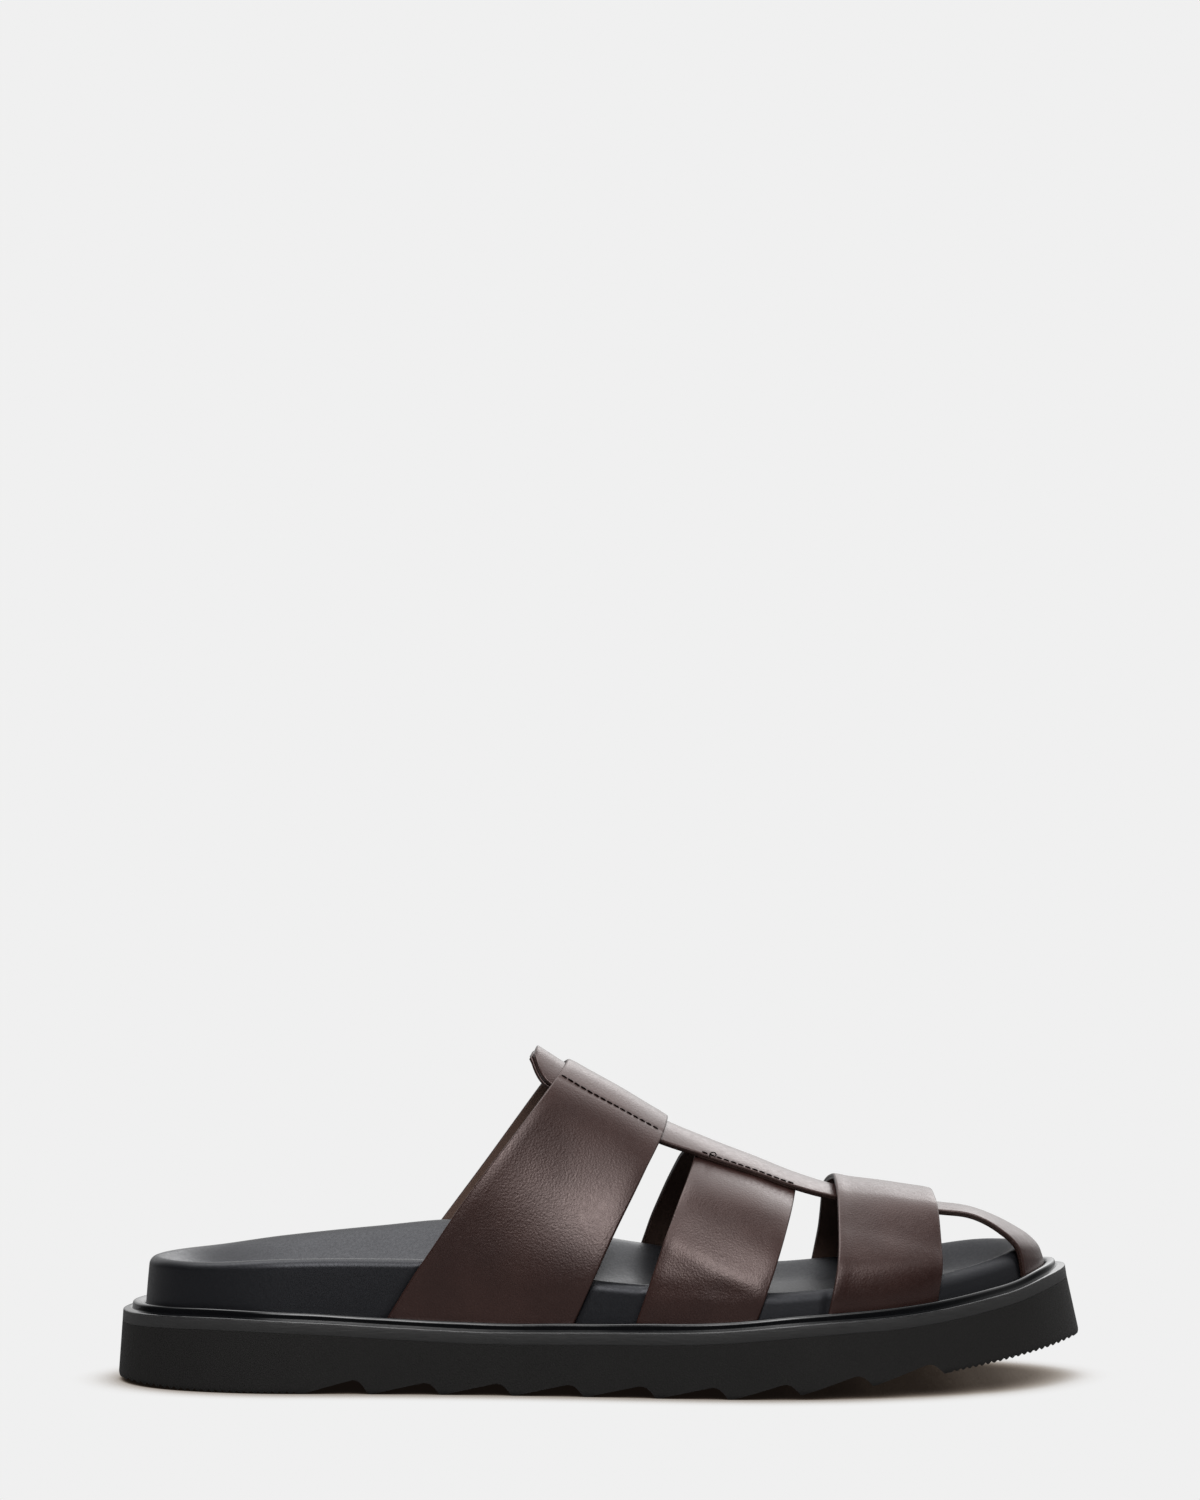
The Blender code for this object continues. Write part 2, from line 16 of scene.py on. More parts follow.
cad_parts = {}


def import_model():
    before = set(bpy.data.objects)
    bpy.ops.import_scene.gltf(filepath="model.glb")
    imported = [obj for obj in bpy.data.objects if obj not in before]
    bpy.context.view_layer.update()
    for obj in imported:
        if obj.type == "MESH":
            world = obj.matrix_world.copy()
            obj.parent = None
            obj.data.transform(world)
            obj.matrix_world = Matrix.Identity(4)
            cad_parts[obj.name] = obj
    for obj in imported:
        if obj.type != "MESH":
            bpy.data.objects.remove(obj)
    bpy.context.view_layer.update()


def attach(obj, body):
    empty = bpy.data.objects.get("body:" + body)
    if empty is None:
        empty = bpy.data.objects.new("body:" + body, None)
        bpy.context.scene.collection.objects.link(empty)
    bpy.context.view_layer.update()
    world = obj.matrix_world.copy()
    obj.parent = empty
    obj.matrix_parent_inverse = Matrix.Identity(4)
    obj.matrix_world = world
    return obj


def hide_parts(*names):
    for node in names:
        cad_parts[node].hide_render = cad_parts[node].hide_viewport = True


MM = 0.001


def table(columns, *rows):
    """Rows whose values are read by the names of their columns."""
    row = namedtuple("Row", columns)
    return tuple(row(*values) for values in rows)


Wave = namedtuple("Wave", "rise length seed")
Bulge = namedtuple("Bulge", "rise middle width")

# ---- driving sizes, in millimetres

LENGTH = 300.0
EDGE = 7.2  # how far the sole stands out from the footbed all round
TOE_FLARE = 1.0
MIDDLE = (LENGTH + TOE_FLARE) / 2
HEEL_BEVEL_LENGTH = 40.0
HEEL_BEVEL_RISE = 1.4
SPRING_START = 191.5
SPRING_RISE = 13.5
SPRING_POWER = 1.3
LEAN_STEP = 4.0  # the ground's slope is taken over this far to each side

PLAN = table(
    "s lateral medial",
    (EDGE, 1, 1),
    (22, -23.5, 25.5),
    (45, -31.5, 33),
    (80, -33, 33),
    (115, -35.5, 33),
    (150, -40, 36.7),
    (185, -45.5, 43.8),
    (212, -46.5, 46.4),
    (240, -41.5, 44.6),
    (262, -32, 39.5),
    (280, -17, 29.8),
    (288.5, -4, 22),
    (LENGTH - EDGE, 11, 11),
)

DECK = table(
    "s z",
    (0, 18.2),
    (30, 19),
    (60, 18.1),
    (90, 16.5),
    (115, 15.5),
    (145, 15.7),
    (165, 16),
    (181, 16.4),
    (196, 17.3),
    (211, 18.6),
    (226, 19.6),
    (241, 20.5),
    (256, 22.1),
    (271, 24.5),
    (282, 26.5),
    (291, 28.9),
    (300, 31),
)

# Footbed: its rim on both sides, the floor of the cup, how far the cup's side reaches in, the
# height of the rim's rounding and how far in its crest lies.
RIM = table(
    "s lateral medial floor slope rounding crest",
    (7, 38.3, 38.3, 29.5, 22, 2.7, 3),
    (28, 38.6, 39.2, 28.3, 23, 2.7, 3),
    (50, 39.9, 41.6, 27.8, 26, 2.7, 3),
    (80, 40.3, 44.7, 27.8, 31, 2.7, 3),
    (105, 39.7, 46.8, 28.3, 35, 2.8, 3.1),
    (130, 36.5, 45.2, 28.6, 34, 3, 3.3),
    (155, 33.8, 40.1, 28.4, 28, 3.4, 3.6),
    (180, 32.6, 35.8, 27.8, 20, 3.6, 3.8),
    (205, 31.2, 32, 27.4, 15, 3.6, 3.6),
    (225, 32.4, 33.1, 28, 15, 3.6, 3.6),
    (256, 34.6, 36.9, 30.6, 15, 3.8, 3.6),
    (280, 38.9, 40.9, 34.6, 14, 3.8, 3.6),
    (294, 41.6, 41.6, 38, 14, 3.8, 3.6),
)

# Outer face of the centre strap along the ridge, the radius of its crown, and the share of the
# height over which the sides stay steep.
RIDGE = table(
    "s z radius side",
    (80, 121, 15, 0.36),
    (110, 113.6, 15, 0.36),
    (130, 104.2, 15, 0.36),
    (141, 97.4, 15.5, 0.36),
    (155.5, 89.3, 16.4, 0.37),
    (170, 80.8, 19, 0.38),
    (184, 74.9, 26, 0.40),
    (198, 69.5, 32, 0.42),
    (211, 64.2, 35, 0.44),
    (221, 62, 38, 0.46),
    (238, 58.4, 52, 0.48),
    (255, 54.8, 75, 0.50),
    (266, 53.5, 80, 0.50),
)

STRAP = 1.8  # thickness of a strap: two plies
STRAP_OUT = 1.3  # outer face of a strap's foot, outside the footbed's outline
STRAP_SEAT = 2.6  # underside of a strap's foot, above the outsole's top face
FOOT_HEIGHT = 12.0  # middle of a strap's foot, above the outsole's top face
SHOULDER = 4.0  # how far below the rim a strap starts to curve inwards
RIDGE_Y = 2.0  # centre line of the instep
PLY_GAP = 0.06  # air between two straps that lie on each other
SKEW_START = 0.3  # a strap's medial half is skewed from this far down its side
FADE_START = 16.5  # a crossing strap is lifted this far out from the ridge ...
FADE_END = 34.0  # ... and is back on the common surface here
WALL_SHARE = 0.2  # share of the parameter spent on a strap's upright foot
CROWN_SHARE = 0.6  # share of each half that is searched for a point near the ridge
CROWN_STEPS = 120

# Cross straps: where their rear and front edges are at height z, how far they are lifted off the
# common surface where they cross the centre strap, the skew of their medial half, their rows
# from foot to foot and columns from edge to edge, how far in and how deep their long edges roll
# under, and the waves of their faces.
EDGE_COLUMNS = "z rear front"
CROSS_STRAPS = table(
    "name edges lift_rear lift_front skew rows columns roll_reach roll_drop waves",
    ("instep_strap", table(
        EDGE_COLUMNS,
        (17, 81.7, 140.6),
        (36, 94.2, 149),
        (48, 103.2, 154.5),
        (67, 117.3, 164.5),
        (78, 125.2, 170.4),
        (100, 140.9, 172.5),
    ), STRAP + PLY_GAP, STRAP + PLY_GAP, -2.3, 260, 64,
     4.0, 0.35, (Wave(0.20, 34.0, 3.0), Wave(0.05, 11.0, 8.0))),
    ("middle_strap", table(
        EDGE_COLUMNS,
        (17, 159.4, 196.1),
        (50, 171, 207.8),
        (80, 183.5, 218),
    ), -STRAP - PLY_GAP, -STRAP - PLY_GAP, -3.4, 220, 44,
     4.0, 0.35, (Wave(0.15, 28.0, 5.0), Wave(0.05, 9.0, 2.0))),
    ("toe_strap", table(
        EDGE_COLUMNS,
        (20, 218.6, 253),
        (45, 223.1, 255.3),
        (59, 223.2, 252.6),
        (66, 222.5, 250),
    ), STRAP + PLY_GAP, STRAP + 2.4, -2.8, 200, 40,
     3.5, 0.3, (Wave(0.18, 26.0, 1.0), Wave(0.05, 8.0, 6.0))),
)

# How the straps lie: bulges round a height, or round a share of the way from rear to front.
INSTEP_FLARE = Bulge(2.8, 74.0, 30.0)  # the rear edge stands outwards ...
FLARE_EASE = 14.0  # ... from about this far beside the ridge
INSTEP_SET_BACK = Bulge(2.4, 62.0, 24.0)  # the lateral rear edge lies further back
FLARE_REACH = 0.85  # share of the width that both take up
MIDDLE_FOLD = Bulge(0.5, 39.0, 4.0)
MIDDLE_FOLD_SLANT = 16.0  # drop of that fold from the rear edge to the front
MIDDLE_DIP = Bulge(-0.2, 32.0, 3.0)
TOE_FOLD = Bulge(0.6, 38.5, 5.0)
TOE_REAR = Bulge(0.5, 0.0, 0.10)
CENTRE_WAVE = Wave(0.22, 24.0, 4.0)
CENTRE_ROLL = (3.0, 0.06)  # reach and drop of its rolled edges

# Centre strap: the line of its outer face from the tab at the instep down to the toe's bead,
# its half width, and how far it has turned from the crown of the last to the wall of the toe.
CENTRE = table(
    "s z half_width turn",
    (130.8, 103.9, 15.2, 0),
    (141, 97.4, 15.5, 0),
    (148, 93.4, 16.8, 0),
    (155.5, 89.3, 17, 0),
    (164, 84.3, 17, 0),
    (170, 80.8, 16.3, 0),
    (184, 74.9, 16.2, 0),
    (198, 69.5, 16, 0),
    (211, 64.2, 15.2, 0),
    (221, 61, 14.2, 0),
    (238, 57.9, 13, 0),
    (254, 54.9, 12.6, 0.08),
    (267, 52.9, 12.6, 0.28),
    (275, 49.8, 12.8, 0.48),
    (281, 46.6, 13, 0.66),
    (285.5, 43.6, 13.2, 0.82),
    (288.4, 40.4, 13.4, 0.94),
    (289.7, 37, 13.6, 1),
)
TAB_ROUND = 9.5  # how far the tab's round corners reach along the strap
TAB_TIP = 8.0  # half width left at its very end
TAB_SQUARE = 0.3  # the tab is cut square to its slope: shift back for each mm of drop ...
TAB_SQUARE_END = 26.0  # ... which fades out over this length
TOE_WRAP = 45.0  # length over which the strap bends down round the toe
EDGE_RISE = 0.25  # rise of its edges for each millimetre that they sit back there
CENTRE_COLUMNS = 40
TAB_ROWS = 14
INSTEP_ROWS = 130
TOE_ROWS = 60
FOOT_ROWS = 8
TOE_STEPS = 200  # steps of the outline that the toe's wall is read from
SOLVE_STEPS = 40  # rounds that bring each sample onto its strap's edge line

# Sewing: the seam that holds the instep strap on the centre strap, and the one along the centre
# strap's edges where the middle strap passes under it.
SEAM_OFFSET = 15.1  # from the ridge line
SEAM_COLUMNS = (2, -3)  # first and last of the instep strap's columns that it runs through
SEAM_DEPTH = 0.16
SEAM_WIDTH = 0.6
CENTRE_SEAM = (181.0, 211.0)
CENTRE_SEAM_EASE = 2.0  # length over which its pressed line starts and ends
CENTRE_SEAM_INSET = 0.9
CENTRE_SEAM_WIDTH = 0.5
STITCH_PITCH = 2.3
STITCH_GAP = 0.03  # share of the pitch left free at each end of a stitch
STITCH_RISE = 0.15  # of its middle above the leather ...
STITCH_DIP = 0.35  # ... and of its ends below it
STITCH_SLANT = 0.16  # how far a stitch lies askew
STITCH_WANDER = 0.10  # how far it strays from the line ...
STITCH_UNLIKE = 3.1  # ... and how fast that changes along the seam
STITCH_POINTS = 9
THREAD = 0.46
LOOSE_THREAD = THREAD / 1.2

# A loop of loose thread that stands up from the centre strap's seam: its turn in half circles,
# how far its middle lies above the leather in radii, and its drift sideways for each radian.
Loop = namedtuple("Loop", "station radius start end lift drift points")
LOOSE_LOOP = Loop(185.7, 0.95, -0.75, 1.25, 0.55, 0.25, 28)

# Second ply under the tab: it reaches this far forward, is this thick and sticks out this far.
TAB_LINING_END = 151.0
TAB_LINING = 1.3
TAB_LINING_OUT = 0.5
TAB_LINING_FADE = 16.0  # length over which it comes back under the tab's sides ...
TAB_LINING_EASE = 8.0  # ... and width over which it does so at the ridge

# Footbed, over the outsole's top face.
RING_STEPS = 360  # steps from heel to toe along each side of a ring
CREST_STEPS = 1440  # and where the cup reads the height of the rim
PLATE_FLOOR = 2.0
WALL_LEAN = -0.35
WALL_RINGS = 8
RIM_RINGS = 12
CUP_RINGS = 34
CUP_CROWDING = 1.3  # above 1, its rings lie closer together near the rim
CUP_FULLNESS = 0.35
CUP_SHOULDER = 1.6  # rounding between the crest and the cup's side
NEAR_SOFTNESS = 0.3  # evens out which part of the rim a point of the cup is nearest to
SPINE = (46.0, 252.0)
SPINE_REACH = 0.985
RECESS = 0.75  # the footbed's wall gives way behind a strap ...
BEHIND_MARGIN = 0.8  # ... from this far beside it ...
BEHIND_EASE = 1.2  # ... and fully after this length
TOE_WRAP_START = 240.0  # the centre strap counts from here on ...
TOE_WRAP_EASE = 5.0  # ... and fully after this length

# Welt: offset outwards from the footbed's wall and height above the outsole's top face, from
# the brushed band up over the ledge to the glossy bead that hides the straps' feet.
BAND_TOP = 3.8
BEAD_CLEAR = 1.4  # the bead's inner side gives way to a strap's foot ...
BEAD_FOOT = 5.0  # ... as wide as the foot is this far above the outsole ...
BEAD_BLEND = 5  # ... and over this many points of the outline
RIPPLE = Wave(0.10, 17.0, 2.0)  # of the whole welt; the bead also goes up and down
RIPPLE_UP = 0.16
RIPPLE_EASE = 1.5  # height above the band over which that comes in
CRUMBLE = Wave(0.06, 2.2, 7.0)  # of the band's upper edge, which also goes up and down
CRUMBLE_UP = 0.08
CRUMBLE_AT = Bulge(1.0, EDGE - 0.2, 0.35)  # it is strongest this far out ...
CRUMBLE_TOP = 0.5  # ... and starts this far below the band's top
BAND_PROFILE = table(
    "out height",
    (EDGE - 0.5, 0.02),
    (EDGE - 0.12, 0.02),
    (EDGE, 0.3),
    (EDGE, BAND_TOP - 0.45),
    (EDGE - 0.04, BAND_TOP - 0.22),
)
BEAD_PROFILE = table(
    "out height",
    (EDGE - 0.14, BAND_TOP - 0.05),
    (EDGE - 0.36, BAND_TOP + 0.04),
    (EDGE - 1.1, BAND_TOP + 0.12),
    (5.2, BAND_TOP + 0.34),
    (4.8, BAND_TOP + 0.42),
    (4.55, BAND_TOP + 0.3),
    (4.4, BAND_TOP + 0.26),
    (4.32, BAND_TOP + 0.6),
    (4.3, BAND_TOP + 1.4),
    (4.24, BAND_TOP + 1.75),
    (4.1, BAND_TOP + 2.04),
    (3.88, BAND_TOP + 2.24),
    (3.55, BAND_TOP + 2.34),
    (3, BAND_TOP + 2.36),
    (2.2, BAND_TOP + 2.26),
    (1.3, BAND_TOP + 1.85),
    (0.6, BAND_TOP + 1.2),
    (0.25, BAND_TOP + 0.5),
    (0.25, PLATE_FLOOR),
)

# Outsole and its tread.
BOTTOM_EDGE_INSET = 0.3
BOTTOM_EDGE_RISE = 0.8
GROOVES = 9
GROOVE_PITCH = 21.87
FIRST_PEAK = 74.9
FIRST_RAMP = 15.5
RAMP = 16.2
DROP = 5.0
GROOVE_DEPTH = 3.6
FIRST_GROOVE_DEPTH = 4.3
GROOVE_PROFILE = table(
    "ramps drops depth",
    # distance from the peak in lengths of the ramp or of the drop, and share of the depth
    (-1, 0, 0),
    (-0.05, 0, 0.95),
    (0, 0.04, 1),
    (0, 0.25, 0.96),
    (0, 0.45, 0.84),
    (0, 0.65, 0.58),
    (0, 1, 0),
)
RIB_ZONES = table("start end pitch depth", (1.0, 60.0, 2.2, 1.0), (255.0, 299.5, 1.95, 0.8))
RIB_EASE = 4.0  # length over which the ribs start and end
RAIL_STEPS = 2000
SOLE_STEP = 0.45
END_STEPS = 240  # steps from end to end where they crowd at the round ends ...
END_SHARE = 0.05  # ... used over this share of the length at each
SIDE_SHARES = (0.0, 0.03, 0.07, 0.12, 0.2, 0.35, 0.6, 0.8, 0.94, 0.985, 1.0)

# Looks. A grain is a noise: its scale, detail and roughness. A finish mixes its two colours by
# one grain, takes its roughness from another and its relief, this deep in metres, from a third.
Finish = namedtuple("Finish", "stretch tint gloss relief dark light smooth rough depth strength sockets")
EDGE_PATCHES = (420.0, 3.0, 0.5)
NAP = (900.0, 4.0, 0.65)
TWIST = (4200.0, 1.0, 0.5)
BRUSHED = (1500.0, 3.0, 0.6)
DRAG = (500.0, 3.0, 0.6)
FOAM = (1900.0, 3.0, 0.7)
SPECULAR = "Specular IOR Level"
FINISHES = {
    "painted_edge": Finish(None, EDGE_PATCHES, EDGE_PATCHES, (1800.0, 2.0, 0.5),
                           (0.022, 0.011, 0.009), (0.045, 0.023, 0.018),
                           0.2, 0.32, 0.00008, 0.8, {}),
    "dark_lining": Finish(None, NAP, NAP, NAP, (0.100, 0.062, 0.049), (0.160, 0.103, 0.082),
                          0.62, 0.8, 0.0001, 0.6, {SPECULAR: 0.15}),
    "dark_thread": Finish(None, TWIST, TWIST, TWIST, (0.002, 0.0012, 0.001), (0.005, 0.003, 0.0025),
                          0.7, 0.85, 0.0001, 0.8, {SPECULAR: 0.08}),
    "brushed_band": Finish((0.12, 0.12, 1.0), BRUSHED, BRUSHED, BRUSHED,
                           (0.024, 0.0236, 0.0236), (0.037, 0.0364, 0.0364),
                           0.42, 0.6, 0.00012, 0.8, {}),
    "glossy_bead": Finish(None, DRAG, DRAG, DRAG, (0.004, 0.0042, 0.0048), (0.007, 0.0073, 0.0082),
                          0.05, 0.09, 0.00004, 0.5, {"IOR": 1.52}),
    "matt_rubber": Finish(None, (70.0, 3.0, 0.5), FOAM, FOAM,
                          (0.0103, 0.0097, 0.0093), (0.0140, 0.0131, 0.0125),
                          0.62, 0.78, 0.00012, 0.7, {SPECULAR: 0.3}),
}
LEATHER_DARK = (0.026, 0.0115, 0.0098)
LEATHER_LIGHT = (0.036, 0.0163, 0.0136)
LEATHER_SHEEN = {"IOR": 1.56, "Specular Tint": (1.0, 0.82, 0.79, 1.0)}
FOOTBED_DARK = (0.0060, 0.0062, 0.0074)
FOOTBED_LIGHT = (0.0090, 0.0093, 0.0112)
FOOTBED_SHEEN = {"IOR": 1.47, "Specular Tint": (0.92, 0.93, 1.0, 1.0)}
PALE = 0.871  # radiance of the surroundings and of the open floor
FLOOR_BOUNCE = 0.18  # share of the light that it sends on to the sandal
FLOOR_REACH = 120.0  # metres
FLOOR_DROP = 0.00005  # metres below the tread, so that the two never share a plane
# The floor's shadow is painted: its glow is darkened by how much sky each point sees nearby.
SHADOW_REACH = 0.02  # metres
SHADOW_TONES = table(
    "open_share tone",
    # share of the sky a point of the floor sees nearby, and how bright the painted shadow leaves it
    (0.06, (0.007, 0.005, 0.004)),
    (0.20, (0.036, 0.027, 0.021)),
    (0.34, (0.160, 0.132, 0.110)),
    (0.50, (0.370, 0.330, 0.290)),
    (0.62, (0.540, 0.500, 0.465)),
    (0.78, (0.880, 0.865, 0.850)),
    (0.92, (1, 1, 1)),
)
GLOWS = table(
    "towards focus strength",
    # direction, how narrow the glow is, and its radiance in the middle
    ((-0.03, -0.85, 0.53), 60, 7.6),
    ((-0.03, -0.74, 0.67), 50, 4.5),
    ((-0.02, -0.60, 0.80), 60, 5.4),
    ((0.24, -0.55, 0.80), 60, 2.5),
    ((-0.26, 0.09, 0.96), 22, 6),
    ((0, 1, 0.09), 20, 0.4),
    ((0.14, 0.92, 0.36), 22, 1.4),
    ((0.46, 0.80, 0.37), 22, 1.4),
    ((-0.46, 0.80, 0.37), 22, 1),
    ((0, 0.59, 0.81), 22, 1.6),
    ((0.25, 0.80, 0.55), 80, 3.6),
    ((0.46, 0.42, 0.78), 22, 2.6),
    ((0.77, 0, 0.64), 14, 0.9),
)
CAMERA_AT = (-0.0001, -1.549, 0.1962)
CAMERA_LENS = 118.92
CAMERA_SENSOR = 36.0  # along the view's longer side
CAMERA_FAR = 500.0  # metres, past the far corner of the floor


# ---- curves and the sole's surfaces

def column(rows, name):
    return np.array([getattr(row, name) for row in rows])


def through(x, xs, ys):
    """Smooth curve through the points (xs, ys), held at its end values beyond them."""
    x = np.clip(x, xs[0], xs[-1])
    slopes = np.gradient(ys, xs)
    i = np.clip(np.searchsorted(xs, x, side="right") - 1, 0, len(xs) - 2)
    step = xs[i + 1] - xs[i]
    t = (x - xs[i]) / step
    start = (1 + 2 * t) * (1 - t) ** 2 * ys[i] + t * (1 - t) ** 2 * step * slopes[i]
    end = t * t * (3 - 2 * t) * ys[i + 1] + t * t * (t - 1) * step * slopes[i + 1]
    return start + end


def lookup(rows, name, x):
    return through(x, column(rows, rows[0]._fields[0]), column(rows, name))


def smoothstep(x):
    x = np.clip(x, 0.0, 1.0)
    return x * x * (3 - 2 * x)


def unit(vectors):
    return vectors / np.linalg.norm(vectors, axis=-1, keepdims=True)


def plateau(x, start, end, ease):
    """1 between start and end, down to 0 at both over a length."""
    return smoothstep((x - start) / ease) * smoothstep((end - x) / ease)


def hump(x, middle, width):
    """Smooth bump of height 1 at middle that has died away about two widths off."""
    return np.exp(-((x - middle) / width) ** 2)


def wander(points, wavelength, seed=0.0):
    """Smooth noise from about -1 to 1 at points in millimetres."""
    flat = np.reshape(points, (-1, 3)) / wavelength + seed
    values = [noise.noise(Vector(point)) for point in flat]
    return np.reshape(values, np.shape(points)[:-1])


def ground(s):
    """Height of the tread's face: zero between the heel's bevel and the toe spring."""
    heel = np.clip(1 - s / HEEL_BEVEL_LENGTH, 0, None)
    toe = np.clip((s - SPRING_START) / (LENGTH - SPRING_START), 0, None)
    return HEEL_BEVEL_RISE * heel ** 2 + SPRING_RISE * toe ** SPRING_POWER


def lean(s):
    """Slope of the ground line: the whole sole leans back by it."""
    return (ground(s + LEAN_STEP) - ground(s - LEAN_STEP)) / (2 * LEAN_STEP)


def deck(s):
    return lookup(DECK, "z", s)


def place(s, y, z):
    """World point of a sole point: station s in the flat plan, leaned back with the ground."""
    x = s - MIDDLE - lean(s) * (z - ground(s))
    return np.stack(np.broadcast_arrays(x, y, z), axis=-1)


def plan_station(s, z):
    """Station in the flat plan of a point seen at distance s and height z."""
    flat = s
    for _ in range(4):
        flat = s + lean(flat) * (z - ground(flat))
    return flat


def turn_angle(s):
    """Angle that runs from 0 at the footbed's heel to pi at its toe, for round ends."""
    share = (s - EDGE) / (LENGTH - 2 * EDGE)
    return np.arccos(1 - 2 * np.clip(share, 0, 1))


def outline_y(side, s):
    return through(turn_angle(s), turn_angle(column(PLAN, "s")), column(PLAN, side))


def outline(offset=0.0, steps=RING_STEPS):
    """Closed ring (s, y) round the footbed, anticlockwise from the heel, moved out by offset."""
    angle = np.linspace(0, np.pi, steps + 1)
    s = EDGE + (LENGTH - 2 * EDGE) * (1 - np.cos(angle)) / 2
    lateral = np.column_stack([s, outline_y("lateral", s)])
    medial = np.column_stack([s, outline_y("medial", s)])
    ring = np.vstack([lateral, medial[-2:0:-1]])
    along = unit(np.roll(ring, -1, axis=0) - np.roll(ring, 1, axis=0))
    offset = np.broadcast_to(offset, len(ring))[:, None]
    return ring + offset * np.column_stack([along[:, 1], -along[:, 0]])


def rim_at(lateral, s):
    """Height of the footbed's rim at stations s, on the lateral side or the medial side."""
    return np.where(lateral, lookup(RIM, "lateral", s), lookup(RIM, "medial", s))


def rim_heights(steps):
    """Height of the footbed's rim at each point of an outline."""
    s = outline(steps=steps)[:, 0]
    return rim_at(np.arange(len(s)) <= steps, s)


# ---- the straps' common surface

def section(s, t):
    """Outer face of the straps across the foot at station s.

    t is -1 at the lateral foot, 0 on the ridge and 1 at the medial foot. Each half goes
    straight up from its seat beside the footbed and then bows over to the ridge.
    """
    flat = plan_station(s, deck(s) + FOOT_HEIGHT)
    lateral = t < 0
    side = np.where(lateral, -1.0, 1.0)
    edge = np.where(lateral, outline_y("lateral", flat), outline_y("medial", flat))
    foot_y = edge + side * STRAP_OUT
    shoulder = rim_at(lateral, flat) - SHOULDER
    seat = deck(flat) + STRAP_SEAT
    top = lookup(RIDGE, "z", s)
    reach = shoulder + lookup(RIDGE, "side", s) * (top - shoulder)
    crown = np.sqrt(2 / 3 * lookup(RIDGE, "radius", s) * (top - reach))  # gives that radius
    b = np.clip(1 - np.abs(t), 0, 1)
    up = np.clip(b / WALL_SHARE, 0, 1)
    bow = np.clip((b - WALL_SHARE) / (1 - WALL_SHARE), 0, 1)
    w0 = (1 - bow) ** 3
    w1 = 3 * bow * (1 - bow) ** 2
    w2 = 3 * bow ** 2 * (1 - bow)
    w3 = bow ** 3
    y = (w0 + w1) * foot_y + w2 * (RIDGE_Y + side * crown) + w3 * RIDGE_Y
    z_bow = w0 * shoulder + w1 * reach + (w2 + w3) * top
    z = np.where(b < WALL_SHARE, seat + up * (shoulder - seat), z_bow)
    return y, z


def crown_z(s, y):
    """Heights of the straps' common face at station s and widths y, near the ridge."""
    t = np.linspace(-CROWN_SHARE, CROWN_SHARE, CROWN_STEPS + 1)
    across, up = section(np.full_like(t, s), t)
    return np.interp(y, across, up)


def unit_normals(grid):
    """Normals of a grid of points, by central differences, pointing up and outwards."""
    normals = unit(np.cross(np.gradient(grid, axis=0), np.gradient(grid, axis=1)))
    return normals * np.sign(normals[..., 2].sum())


def edges_at(strap, z):
    """Stations of a cross strap's rear and front edge at heights z, before its skew."""
    return lookup(strap.edges, "rear", z), lookup(strap.edges, "front", z)


def cross_strap_grid(strap):
    """Outer face of a cross strap, lifted where it crosses the centre strap.

    Also gives v for each point, which runs from 0 at the rear edge to 1 at the front edge.
    """
    t = np.linspace(-1, 1, strap.rows + 1)
    t, v = np.meshgrid(t, np.linspace(0, 1, strap.columns + 1), indexing="ij")
    skew = strap.skew * smoothstep(t / SKEW_START)
    s = np.full_like(t, (strap.edges[0].rear + strap.edges[0].front) / 2)
    for _ in range(SOLVE_STEPS):
        rear, front = edges_at(strap, section(s, t)[1])
        s = (s + rear + v * (front - rear) + skew) / 2
    y, z = section(s, t)
    fade = 1 - smoothstep((np.abs(y - RIDGE_Y) - FADE_START) / (FADE_END - FADE_START))
    lift = (strap.lift_rear + v * (strap.lift_front - strap.lift_rear)) * fade
    grid = np.stack([s - MIDDLE, y, z], axis=-1)
    return grid + unit_normals(grid) * lift[..., None], v


def toe_wall(y):
    """Station and seat height of the footbed's toe wall at width y."""
    ring = outline(STRAP_OUT, TOE_STEPS)[TOE_STEPS // 2:-TOE_STEPS // 2]
    flat = np.interp(y, ring[:, 1], ring[:, 0])
    seat = deck(flat) + STRAP_SEAT
    return flat - lean(flat) * (seat - ground(flat)), seat


